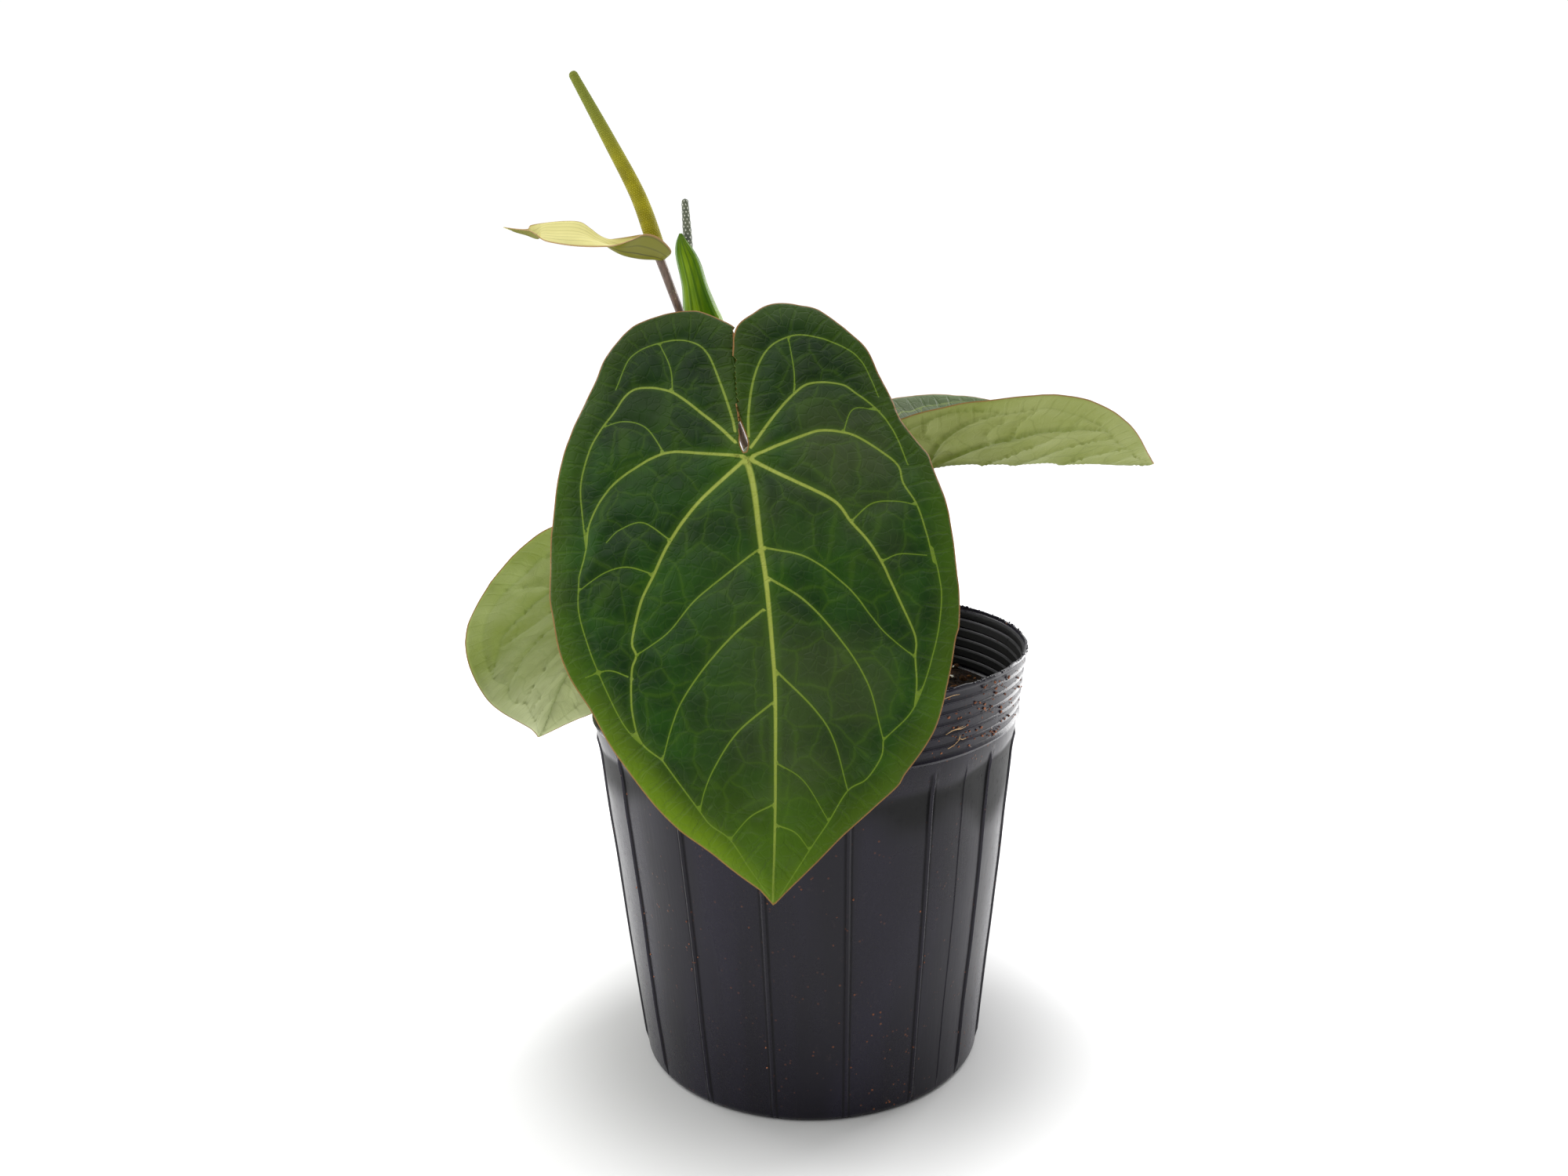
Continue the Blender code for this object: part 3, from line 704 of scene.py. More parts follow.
RIGHT_EDGE = [
    (0.3, -1.2), (1.0, -4), (0.5, -7.6), (-0.6, -13), (-1.6, -20), (-1.5, -29), (-0.9, -35), (-0.6, -38.5),
    (1.0, -42.5),
    (4.7, -46), (9.2, -49.5), (14.3, -50.4), (19.2, -49.4), (24.2, -48), (28.9, -44), (34.3, -38.8),
    (38.9, -33),
    (41.6, -25.5), (45.1, -17.1), (47, -10.9), (51.4, -3.8), (54.4, 0.7), (55.2, 4.2), (56.9, 11.2), (58.5, 19),
    (59.4, 27.5), (59.8, 35.8), (60, 44.1), (59.1, 52.9), (57.6, 57.2), (55.1, 66.7), (50.8, 79.1), (46, 87.3),
    (39.7, 94.8), (37.1, 98.4), (28.8, 104.8), (20.6, 110.9), (12.4, 117.9), (4.2, 124.9),
]
FRONT_LENGTH = 128.7
EDGE_STEP = 1.1
CLEFT = -1.25

# Each rib: its half width in mm at its foot and at its end, then its route.
RIBS = [
    (1.15, 0.35, [(0.4, 1), (1.9, 10.3), (2.9, 27), (3.8, 38.4), (4.4, 60), (4.2, 72), (3, 91), (1.9, 106),
                  (-0.2, 128)]),
    (0.75, 0.3, [(-0.1, 1), (-14.7, 13.2), (-23.2, 23.5), (-28.5, 33.2), (-32.6, 41), (-35.7, 52),
                 (-34.7, 56.4),
                 (-36.3, 60.8), (-36.7, 72.4), (-34.7, 81), (-28.7, 86.6)]),
    (0.65, 0.28, [(-0.7, 0), (-11.6, -2), (-23.7, -3.1), (-36.4, 2.4), (-42.2, 7.5), (-46.8, 15.7), (-48.3, 24),
                  (-50.7, 32)]),
    (0.6, 0.25, [(-2.5, -4.4), (-10.2, -13), (-20.6, -22.7), (-29.5, -25.5), (-34.6, -23.8), (-39, -18),
                 (-44.4, -11),
                 (-47.4, -4.3), (-49.5, 6), (-48.3, 24)]),
    (0.5, 0.2, [(-2.8, -8), (-6.4, -23.5), (-10, -35), (-15.6, -39.5), (-24, -39.5), (-32.6, -36), (-38, -26)]),
    (0.5, 0.2, [(1.2, -5), (3.8, -22.7), (8.2, -33.6), (15, -38), (21.8, -38.3), (30.6, -35), (36.9, -29.3),
                (41, -18)]),
    (0.6, 0.25, [(1.8, -2.8), (9.3, -12.4), (15.5, -19.3), (20.7, -22.6), (29.6, -22.4), (34.3, -19),
                 (40.5, -13.5),
                 (45, -6), (48, 4)]),
    (0.65, 0.28, [(2, 0), (12.9, -4), (21.9, -7), (29.3, -6.5), (34, -4.7), (40.3, -0.3), (45, 4.2),
                  (46, 10), (49.4, 17),
                  (51.3, 24.7), (53, 34)]),
    (0.75, 0.3, [(1.5, 1), (10.6, 6.7), (24.5, 14.5), (29.5, 21.3), (33.8, 27), (37.4, 33.6), (39.7, 39.2),
                 (44.7, 52.3),
                 (45.9, 57.4), (45.2, 62), (44.8, 70), (43.6, 76)]),
    (0.4, 0.22, [(1.9, 28.6), (-7.2, 34.6), (-17, 41.8), (-25.5, 50.7), (-34.7, 56.4)]),
    (0.45, 0.22, [(2.4, 46), (-6.7, 52.8), (-15, 61), (-22, 70), (-25.4, 77), (-28.7, 86.6)]),
    (0.4, 0.2, [(3.3, 72.5), (-6.9, 80), (-13.6, 88.7), (-17.2, 95.5), (-19, 101.4)]),
    (0.3, 0.18, [(1.7, 100.8), (-5, 103.8), (-11, 109.7)]),
    (0.4, 0.22, [(4.4, 28), (15.9, 31.5), (26.4, 39.8), (33, 48.8), (37.3, 54.7), (45.2, 62)]),
    (0.45, 0.22, [(4.5, 37), (14.4, 44), (23.7, 55.6), (30.6, 68.5), (34, 85)]),
    (0.4, 0.2, [(5.2, 63.8), (15.3, 75.3), (20, 84), (23, 98.4)]),
    (0.25, 0.16, [(3.7, 89.4), (10.9, 95), (17, 106.5)]),
    (0.3, 0.16, [(2.4, 106.5), (7.5, 109), (11, 114)]),
    (0.3, 0.2, [(-28.7, 86.6), (-24.8, 92.6), (-19, 101.4), (-16.3, 105.3), (-11, 109.7), (-6, 118),
                (-1, 126)]),
    (0.26, 0.24, [(-50.7, 32), (-51, 42), (-48.5, 53), (-44, 66), (-38, 78), (-28.7, 86.6)]),
    (0.26, 0.24, [(53, 30), (54.3, 38), (54.3, 46.5), (51, 60), (43.6, 76), (34, 85)]),
    (0.28, 0.2, [(34, 85), (33, 89.7), (28.6, 95.5), (23, 98.4), (17, 106.5), (11, 114), (2, 126)]),
    (0.28, 0.2, [(-28.5, 33.2), (-36, 30.5), (-43, 31.5), (-50.7, 36)]),
    (0.28, 0.2, [(-23.2, 23.5), (-31, 17.5), (-38, 19), (-42, 22.5)]),
    (0.28, 0.2, [(-36, 63), (-43, 60), (-50, 61.5)]),
    (0.28, 0.2, [(-23.7, -3.1), (-29, -12), (-36, -15), (-42, -14)]),
    (0.28, 0.2, [(29.5, 21.3), (36, 16), (43, 15.5), (49.4, 17)]),
    (0.26, 0.18, [(37.4, 33.6), (43, 31.5), (51, 32)]),
    (0.28, 0.2, [(15.5, -19.3), (16, -26), (15, -38)]),
    (0.28, 0.2, [(-20.6, -22.7), (-21, -31), (-24, -39.5)]),
    (0.24, 0.18, [(29.3, -6.5), (33, -14), (41, -13.5)]),
]


def front_shape(across, along):
    return across, along


def heart_shape(blade, widths, lobe, gape):
    """How a plain heart leaf takes the front leaf's pattern: its own width each side, lobes and cleft."""
    grow = blade.length / MM / FRONT_LENGTH

    def shape(across, along):
        back = max(-along / 50, 0.0)
        width = widths[1 if across > 0 else 0]
        opened = across * width + math.copysign(gape * FRONT_LENGTH * back * (1 - min(abs(across) / 26, 1.0)), across)
        return opened * grow, along * grow * (lobe if along < 0 else 1.0)
    return shape


HEART = [(0.008, -0.02), (0.012, -0.19), (0.023, -0.30), (0.062, -0.36), (0.11, -0.388), (0.16, -0.38),
         (0.23, -0.35), (0.295, -0.28), (0.34, -0.19), (0.38, -0.09), (0.42, 0.0), (0.447, 0.10),
         (0.463, 0.22), (0.465, 0.31), (0.455, 0.41), (0.42, 0.52), (0.38, 0.60), (0.325, 0.685),
         (0.255, 0.765), (0.17, 0.845), (0.085, 0.92)]
heart_right = [(across * FRONT_LENGTH, along * FRONT_LENGTH) for across, along in HEART]
heart_left = [(-across, along) for across, along in heart_right]


def evenly(route, spacing):
    """Points at even distances along a route."""
    route = np.asarray(route, float)
    steps = np.hypot(*np.diff(route, axis=0).T)
    travelled = np.concatenate([[0], np.cumsum(steps)])
    wanted = np.linspace(0, travelled[-1], max(2, int(travelled[-1] / spacing) + 1))
    return np.stack([np.interp(wanted, travelled, route[:, k]) for k in range(2)], 1)


def nearest(points, starts, ends):
    """Distance from each point to each short stretch, and how far along the stretch it is met."""
    run = ends - starts
    length = np.maximum((run ** 2).sum(1), 1e-12)
    share = np.clip(((points[:, None] - starts) * run).sum(2) / length, 0, 1)
    return np.hypot(*(points[:, None] - (starts + share[..., None] * run)).transpose(2, 0, 1)), share


def encloses(outline, points):
    """Which of the points lie inside a closed outline."""
    crossings = np.zeros(len(points), int)
    for (u0, v0), (u1, v1) in zip(outline, np.roll(outline, -1, axis=0)):
        spans = (v0 > points[:, 1]) != (v1 > points[:, 1])
        where = (u1 - u0) * (points[:, 1] - v0) / ((v1 - v0) or 1e-9) + u0
        crossings += spans & (points[:, 0] < where)
    return crossings % 2 == 1


def carry(mesh, key, values):
    """Lays one number a point on a mesh, for its finish to read."""
    mesh.attributes.new(key, "FLOAT", "POINT").data.foreach_set("value", np.array(values, np.float32).ravel())


def grow_leaf(name, blade, edges, shape, spacing, material, quilt, nodes):
    """A closed blade with both its skins, ribs and quilting, and the numbers that its finish reads."""
    left, right = [smooth_route([shape(*point) for point in half], 6) for half in edges]
    tip = np.array([shape(0.0, FRONT_LENGTH)])
    outline = evenly(np.vstack([left, tip, right[::-1], left[:1]]), EDGE_STEP)[:-1]
    ribs = []
    for foot, end, route in RIBS:
        route = evenly(smooth_route([shape(*point) for point in route], 8), 0.8)
        taper = np.linspace(0, 1, len(route)) ** 0.7
        ribs.append((route, foot + (end - foot) * taper))
    low, high = outline.min(0), outline.max(0)
    columns = np.arange(low[0], high[0], spacing)
    rows = np.arange(low[1], high[1], spacing * 0.87)
    grid = np.array([(u + (spacing / 2 if k % 2 else 0), v) for k, v in enumerate(rows) for u in columns])
    next_on_edge = np.roll(outline, -1, axis=0)
    grid = grid[encloses(outline, grid)]
    starts = np.vstack([route[:-1] for route, _ in ribs])
    ends = np.vstack([route[1:] for route, _ in ribs])
    widths = np.concatenate([width[:-1] for _, width in ribs])

    def measure(points):
        margin, rib, rib_mm, share_round, wide = [], [], [], [], []
        for part in np.array_split(points, max(1, len(points) // 1500)):
            away, share = nearest(part, outline, next_on_edge)
            pick = away.argmin(1)
            margin.append(away.min(1))
            share_round.append(pick + share[np.arange(len(part)), pick])
            away, _ = nearest(part, starts, ends)
            closest = (away / widths).argmin(1)
            rib.append((away / widths).min(1))
            rib_mm.append(away.min(1))
            wide.append(widths[closest])
        return [np.concatenate(values) for values in (margin, rib, rib_mm, share_round, wide)]

    margin, _, rib_mm, _, _ = measure(grid)
    grid = grid[(margin > spacing * 0.6) & (rib_mm > spacing * 0.45)]
    rib_points = np.vstack([route for route, _ in ribs])
    margin, *_ = measure(rib_points)
    keep, taken = [], set()
    for point, far in zip(rib_points, margin):
        key = (round(point[0] / 0.5), round(point[1] / 0.5))
        if far > 0.5 and key not in taken:
            taken.add(key)
            keep.append(point)
    keep = np.array(keep)
    keep = keep[encloses(outline, keep)]
    flat = np.vstack([outline, keep, grid])
    count = len(outline)
    result = geometry.delaunay_2d_cdt([Vector(point) for point in flat], [], [list(range(count))], 1, 1e-5, False)
    flat = np.array([tuple(point) for point in result[0]])
    triangles = np.array([tuple(face) for face in result[2]])
    triangles = triangles[encloses(outline, flat[triangles].mean(1))]
    margin, rib, rib_mm, share_round, wide = measure(flat)
    # Heights of both skins above the smooth blade, in mm.
    across, along = flat.T
    near_edge = np.clip(margin / 1.2, 0, 1)
    pillow = 1 - np.exp(-(rib_mm / 3.0) ** 2)
    height = quilt * (pillow - 0.5) * np.clip(margin / 6, 0, 1)
    waves = np.array([noise.noise(Vector((u * 0.035, v * 0.035, 3.0))) * 1.3
                      + noise.noise(Vector((u * 0.1, v * 0.1, 8.0))) * 0.55
                      + noise.noise(Vector((u * 0.3, v * 0.3, 1.0))) * 0.16 for u, v in flat])
    flutter = np.sin(share_round * EDGE_STEP / 9.0) * 0.5 * np.exp(-margin / 7)
    height += waves * min(1.0, quilt * 1.5) + flutter
    lobe_side = np.where(across > CLEFT, 1.0, -1.0)
    lap = 0 * across
    if shape is front_shape:
        lap = np.clip((-along - 6) / 6, 0, 1) * np.exp(-((across - CLEFT) / 7) ** 2)
    height += np.where(lobe_side > 0, 0.75, -0.25) * lap
    ridge = np.exp(-(rib / 1.25) ** 2)
    rib_height = np.clip(0.55 / np.maximum(rib / np.maximum(rib_mm, 1e-6), 0.5), 0.1, 1.0)
    upper = height + 0.10 + 0.13 * near_edge - 0.12 * ridge * near_edge
    lower = height - 0.10 - 0.13 * near_edge - ridge * rib_height * 0.75 * near_edge
    spots, ups = [], []
    for u, v in np.stack([across - lap * lobe_side * 0.75, along], 1) * MM:
        spots.append(blade.place(u, v))
        ups.append(blade.upward(u, v))
    spots, ups = np.array(spots), np.array(ups)
    points = np.vstack([spots + ups * (upper * MM)[:, None], spots + ups * (lower * MM)[:, None]])
    total = len(flat)
    corners = np.sort(np.stack([triangles[:, [0, 1]], triangles[:, [1, 2]], triangles[:, [2, 0]]], 1).reshape(-1, 2), 1)
    ring, uses = np.unique(corners, axis=0, return_counts=True)
    rim = {tuple(pair) for pair in ring[uses == 1]}
    walls = [(a, b) for face in triangles for a, b in ((face[0], face[1]), (face[1], face[2]), (face[2], face[0]))
             if (min(a, b), max(a, b)) in rim]
    faces = [tuple(face[::-1]) for face in triangles] + [tuple(face + total) for face in triangles]
    faces += [(a, b, b + total, a + total) for a, b in walls]
    mesh = bpy.data.meshes.new(name)
    mesh.from_pydata([tuple(point) for point in points], [], faces)
    leaf = bpy.data.objects.new(name, mesh)
    scene.collection.objects.link(leaf)
    numbers = {"rib": rib, "rib_wide": wide, "margin": margin, "round": share_round * EDGE_STEP,
               "across": across, "along": along}
    for key, values in numbers.items():
        carry(mesh, key, np.tile(values, 2))
    carry(mesh, "under", np.repeat((0.0, 1.0), total))
    pick_only(leaf)
    even_skin()
    bpy.ops.object.shade_smooth()
    return new_piece(name, material, nodes)


def leaf_skin(name, upper_tones, under_tones, glow):
    """Upper and under skin in one finish. glow is how much the painted light through the margin makes its lower left
    side paler.
    """
    skin = Finish(name, specular_ior_level=0.12)
    rib, margin, under = skin.worn("rib"), skin.worn("margin"), skin.worn("under")
    across, along, wide = skin.worn("across"), skin.worn("along"), skin.worn("rib_wide")
    flat = skin.node("CombineXYZ", {}, {"X": across * 0.1, "Y": along * 0.1, "Z": 0.0})
    stir = skin.node("TexNoise", {}, {"Vector": flat, "Scale": 1.3, "Detail": 1.0}, "Color")
    bent = skin.node("VectorMath", {"operation": "MULTIPLY_ADD"}, {0: stir, 1: (0.45, 0.45, 0.0), 2: flat})
    net = skin.cells(0.85, "DISTANCE_TO_EDGE", bent, 0.8)
    fine_net = skin.cells(3.4, "DISTANCE_TO_EDGE", bent, 1.0)
    feather = (skin.worn("round") * 1.12 + skin.grain(160, 2) * 2.5).maths("SINE")
    inside = margin.rises(9.5, 12.5)
    thread = net.rises(0.05, 0.008) * inside
    thread_glow = net.rises(0.16, 0.0) * inside
    feather = feather.rises(0.7, 1.0) * (1 - inside) * margin.rises(0.8, 2.5)
    strong = wide.rises(0.15, 0.75)
    vein = rib.rises(1.12, 0.36)
    halo = rib.rises(5.0, 0.8)
    blotch = skin.grain(60, 4)
    painted_veil_noise = skin.grain(26, 3)
    dark, light, painted_sheen_tone, rim_light_green, vein_green, vein_pale = upper_tones
    upper = skin.blend(dark, light, blotch.rises(0.36, 0.66))
    # Painted sheen: a paler grey veil over the centre and right of the upper side, and a stronger patch at its upper
    # right, in place of reflected sky.
    upper = skin.blend(upper, painted_sheen_tone, painted_veil_noise.rises(0.36, 0.66) * across.rises(-30, 12) * margin.rises(8, 20) * 0.7)
    sheen = across.rises(8, 26) * across.rises(54, 40) * along.rises(-26, -10) * along.rises(24, 4)
    upper = skin.blend(upper, painted_sheen_tone, sheen * blotch.rises(0.35, 0.6) * 0.8)
    # Painted light: the margin, most at its lower left side and at the tip, is made paler green, standing in for light
    # shining through the thin blade.
    low_left = along.rises(45, 112) * (across.rises(20, -25) * 0.8 + 0.14)
    painted_rim_light = margin.rises(11, 0) * (0.14 + along.rises(-40, 60) * 0.12) + margin.rises(13, 0) * low_left * glow
    # Painted shade: the lobes either side of the sinus are darkened towards deep green, where the blade's foot lies in
    # shade.
    upper = skin.blend(upper, srgb(11, 30, 6), along.rises(4, -26) * 0.6)
    painted_rim_light = painted_rim_light.most(along.rises(80, 128) * 0.4)
    upper = skin.blend(upper, rim_light_green, painted_rim_light.least(1.0))
    soft = (halo * 0.3 * (strong * 0.6 + 0.4)).most(thread * 0.2).most(thread_glow * 0.08).most(feather * 0.14)
    upper = skin.blend(upper, vein_green, soft.most(fine_net.rises(0.08, 0.0) * 0.07))
    upper = skin.blend(upper, vein_green, vein * 0.9)
    upper = skin.blend(upper, vein_pale, vein * (strong * 0.8 + 0.12))
    pale, deep, line, rib_tone = under_tones
    # The underside is paler lower down on the plant and towards the tip.
    paler_low_and_tip = skin.along("Z").rises(0.116, 0.092).most(along.rises(70, 124) * 0.7)
    lower = skin.blend(deep, pale, (paler_low_and_tip * 0.85 + blotch.rises(0.3, 0.7) * 0.2).least(1.0))
    lower = skin.blend(lower, line, thread.most(feather * 0.5) * 0.16)
    # Painted shade: dark green bands beside the strong ribs on the underside, where the raised ribs shade the quilted
    # skin.
    lower = skin.blend(lower, line, rib.rises(6.5, 1.2) * strong * 0.55)
    lower = skin.blend(lower, rib_tone, rib.rises(2.0, 0.6) * (strong * 0.4 + 0.15))
    colour = skin.blend(upper, lower, under.rises(0.4, 0.6))
    colour = skin.blend(colour, srgb(148, 104, 62), margin.rises(0.55, 0.15) * 0.8)
    roughness = 0.36 + blotch * 0.1 + under * 0.16 - vein * 0.03
    quilting = fine_net.rises(0.0, 0.12) * 0.25 + net.rises(0.0, 0.35) * 0.9 * inside + skin.grain(700, 3) * 0.2
    relief = (quilting - feather * 0.6) * (1 - under * 0.65)
    return skin.finish(colour, roughness, relief, 0.0005, 0.7)


# Each leaf's upper tones: dark, light, painted sheen, painted rim light, vein green, pale vein. Its under tones: pale,
# deep, lines and painted rib shade, rib.
dark_skin = leaf_skin("front_leaf_skin",
                      (srgb(18, 44, 10), srgb(31, 65, 12), srgb(54, 66, 36), srgb(98, 126, 20), srgb(80, 112, 22),
                       srgb(152, 162, 72)),
                      (srgb(140, 150, 96), srgb(118, 136, 66), srgb(96, 112, 60), srgb(166, 172, 120)), 0.8)
grow_leaf("front_leaf_blade", FRONT, (LEFT_EDGE, RIGHT_EDGE), front_shape, 0.95, dark_skin, 0.8, ["front_leaf"])
right_skin = leaf_skin("right_leaf_skin",
                       (srgb(70, 84, 58), srgb(92, 106, 76), srgb(84, 92, 74), srgb(104, 128, 60), srgb(100, 118, 66),
                        srgb(140, 150, 96)),
                       (srgb(190, 192, 144), srgb(136, 146, 72), srgb(84, 98, 28), srgb(112, 126, 50)), 0.5)
grow_leaf("right_leaf_blade", RIGHT, (heart_left, heart_right), heart_shape(RIGHT, (1.02, 1.05), 1.0, 0.02), 1.1,
          right_skin, 0.5, ["right_leaf"])
left_skin = leaf_skin("left_leaf_skin",
                      (srgb(20, 40, 14), srgb(30, 60, 16), srgb(42, 46, 32), srgb(88, 122, 34), srgb(74, 108, 34),
                       srgb(158, 168, 84)),
                      (srgb(212, 220, 166), srgb(146, 162, 76), srgb(122, 144, 64), srgb(128, 146, 66)), 0.5)
grow_leaf("left_leaf_blade", LEFT, (heart_left, heart_right), heart_shape(LEFT, (0.85, 1.17), 0.52, 0.06), 1.2,
          left_skin, 0.6, ["left_leaf"])

for name, blade, route in (
        ("front", FRONT, [*from_crown(-0.001, -0.0068), (-0.003, -0.013, 0.168), (-0.008, -0.030, 0.198),
                          (-0.0128, -0.048, 0.2165), (-0.0155, -0.060, 0.2225)]),
        ("right", RIGHT, [*from_crown(0.0068, 0.0008), (0.010, 0.001, 0.164), (0.022, -0.003, 0.188),
                          (0.031, -0.0062, 0.1995), (0.037, -0.0078, 0.2055)]),
        ("left", LEFT, [*from_crown(-0.006, 0.0048), (-0.0105, 0.0065, 0.162), (-0.0155, 0.0088, 0.170),
                        (-0.021, 0.0115, 0.1765)])):
    joint = blade.place(0.0, 0.002) - blade.facing * 1.6 * MM
    grown_stalk(f"{name}_leaf_stalk", [*route, joint], 2.2 * MM, [1.1, 1.0, *[0.86] * (len(route) - 4), 0.9, 1.12, 0.6],
                petiole_skin, [f"{name}_petiole"])


# ---- Crown and sheaths
# The short woody stem, ringed by old leaf scars and rough with dry fibres, and three papery brown sheaths
# that wrap the foot of the stalks and fray at their tips.

crown_rows = [(7.4, 98)]
for step in range(1, 39):
    height = 98 + step
    scar = 0.7 * abs(math.sin(step * 0.62)) ** 6
    crown_rows.append((float(np.interp(height, (98, 122, 134, 138), (7.6, 9.2, 12.0, 11.8))) - scar, height))
crown_rows += [(10.6, 137.7), (8.6, 138.0), (6.4, 138.1), (4.0, 138.15), (1.8, 138.15)]
crown = drawn_up(56, crown_rows)
bpy.ops.object.mode_set(mode="EDIT")
bpy.ops.mesh.select_all(action="SELECT")
bpy.ops.mesh.subdivide(number_cuts=1)
bpy.ops.object.mode_set(mode="OBJECT")
for vertex in crown.data.vertices:
    point = vertex.co
    knobs = noise.noise(point * 240) * 0.5 + noise.noise(point * 700) * 0.35
    factor = 1 + knobs / 10
    point.x *= factor
    point.y *= factor
bpy.ops.object.shade_smooth_by_angle(angle=math.radians(60))
bast = Finish("crown_fibre")
strands = bast.grain(700, 5, (1, 1, 0.15), 0.7)
bast_colour = bast.blend(srgb(70, 58, 30), srgb(136, 112, 70), strands.rises(0.35, 0.7))
bast_colour = bast.blend(bast_colour, srgb(96, 110, 52), bast.along("Z").rises(0.131, 0.1385) * 0.6)
new_piece("crown_stem", bast.finish(bast_colour, 0.8 - strands * 0.15, strands, 0.0008), ["crown"])

paper = Finish("dry_sheath")
ribs_on_paper = paper.grain(1100, 4, (1, 1, 0.08), 0.6)
paper_colour = paper.blend(srgb(96, 62, 38), srgb(182, 140, 96), ribs_on_paper.rises(0.3, 0.75))
paper_colour = paper.blend(paper_colour, srgb(66, 42, 28), paper.grain(90, 3).rises(0.5, 0.7) * 0.7)
paper.finish(paper_colour, 0.75, ribs_on_paper, 0.0005)


def net_of(name, rows, attributes):
    """A net of four-sided faces through rows of points, left selected and active."""
    count = len(rows[0])
    mesh = bpy.data.meshes.new(name)
    faces = [(i * count + k, i * count + k + 1, (i + 1) * count + k + 1, (i + 1) * count + k)
             for i in range(len(rows) - 1) for k in range(count - 1)]
    mesh.from_pydata([tuple(point) for row in rows for point in row], [], faces)
    for key, values in attributes:
        carry(mesh, key, values)
    net = bpy.data.objects.new(name, mesh)
    scene.collection.objects.link(net)
    pick_only(net)
    return net


def sheet_of(name, rows, thickness, material, nodes, attributes=()):
    """A thin leafy sheet through rows of points, made solid and smooth."""
    sheet = net_of(name, rows, attributes)
    even_skin(0.02 * MM)
    solid = sheet.modifiers.new("thickness", "SOLIDIFY")
    solid.thickness = thickness
    solid.offset = 0.0
    single = len(sheet.data.vertices)
    bpy.ops.object.modifier_apply(modifier=solid.name)
    outer = np.zeros(len(sheet.data.vertices), np.float32)
    outer[single:] = 1.0
    carry(sheet.data, "outside", outer)
    bpy.ops.object.shade_smooth_by_angle(angle=math.radians(50))
    return new_piece(name, material, nodes)


for k, (middle, width) in enumerate(((-46, 54), (60, 54), (182, 24))):
    rows = []
    tallest = 15 if width > 30 else 17
    for step in range(25):
        share = step / 24
        rise = -3 + tallest * share
        half = math.radians(width / 2) * (1 - share ** 2.2) + 0.02
        row = []
        for across in np.linspace(-1, 1, 15):
            turn = math.radians(middle) + across * half + 0.06 * math.sin(share * 5 + k)
            reach = 12.4 - 2.2 * share + 1.8 * share ** 3 + 0.5 * noise.noise(Vector((across * 2, share * 4, k * 5.0)))
            fray = 1.2 * share * noise.noise(Vector((across * 6, share, k * 9.0)))
            row.append(Vector((reach * math.cos(turn), reach * math.sin(turn), CROWN_TOP / MM + rise + fray)) * MM)
        rows.append(row)
    sheet_of(f"dry_sheath_{k + 1}", rows, 0.3 * MM, paper.material, [f"sheath_{k + 1}"])


# ---- Flower heads
# An open head: a long olive spadix set all over with tiny four-sided flowers, above a pale yellow-green spathe
# that clasps the stalk, twists and hangs out to the left. A young head: a bright green hood round a short
# grey-green spadix with a white dot on each flower.

grown_stalk("open_flower_stalk", [*from_crown(-0.0075, -0.0035), (-0.0135, -0.0085, 0.172), (-0.0245, -0.0185, 0.218),
                                  (-0.0362, -0.0293, 0.260), (-0.0422, -0.0335, 0.2785),
                                  (-0.0429, -0.0345, 0.2812),
                                  (-0.0434, -0.0336, 0.2830)],
            1.35 * MM, [1.3, 1.0, 0.95, 0.95, 0.98, 1.05, 1.05, 0.7], purple_skin, ["flower_stalk"])
grown_stalk("young_flower_stalk_stem", [*from_crown(-0.0008, 0.0068), (-0.0040, 0.0045, 0.172),
                                        (-0.0150, -0.0015, 0.207), (-0.0275, -0.0080, 0.245),
                                        (-0.0343, -0.0105, 0.2640), (-0.0345, -0.0106, 0.2660)],
            1.35 * MM, [1.3, 1.0, 0.95, 0.92, 0.92, 0.9, 0.8], purple_skin, ["young_flower_stalk"])


def spike(name, points, radius, swells, around, bump, finish, nodes):
    """A spadix: a tapered rod covered with rows of small domed flowers, each row turned half a flower."""
    route = smooth_route([(*point, swell) for point, swell in zip(points, swells)], 40)
    travelled = np.concatenate([[0], np.cumsum(np.linalg.norm(np.diff(route[:, :3], axis=0), axis=1))])
    pitch = math.tau * radius / around
    flowers = travelled[-1] / (pitch * 0.87)
    columns = around * 4
    levels = int(flowers * 4)
    length = travelled[-1]

    def on_route(share):
        return [float(np.interp(share * length, travelled, route[:, k])) for k in range(4)]

    rows, heights = [], []
    for level in range(levels + 1):
        share = level / levels
        spot = on_route(share)
        way = (Vector(on_route(min(share + 0.01, 1))[:3]) - Vector(on_route(max(share - 0.01, 0))[:3])).normalized()
        across = way.cross(Vector((0, 1, 0))).normalized()
        over = across.cross(way)
        dome = math.sqrt(max(0.0, 1 - max(0.0, 1 - (1 - share) * length / (radius * spot[3])) ** 2))
        row, values = [], []
        y = share * flowers
        for column in range(columns):
            x = column / 4 + 0.08 * math.sin(y * 0.9)
            near = 9.0
            for line in (math.floor(y), math.floor(y) + 1):
                shift = x - 0.5 * (line % 2)
                near = min(near, math.hypot(shift - round(shift), (y - line) * 0.87))
            value = max(0.0, 1 - (near * 1.75) ** 2)
            turn = math.tau * column / columns
            reach = (radius * spot[3] * dome) + bump * (value - 0.6) * min(1.0, dome * 1.5)
            row.append(Vector(spot[:3]) + (across * math.cos(turn) + over * math.sin(turn)) * max(reach, 0.02 * MM))
            values.append(near)
        rows.append([*row, row[0]])
        heights.append([*values, values[0]])
    net_of(name, rows, [("from_flower", heights)])
    even_skin(0.01 * MM, fill=True)
    bpy.ops.object.shade_smooth()
    return new_piece(name, finish.material, nodes)


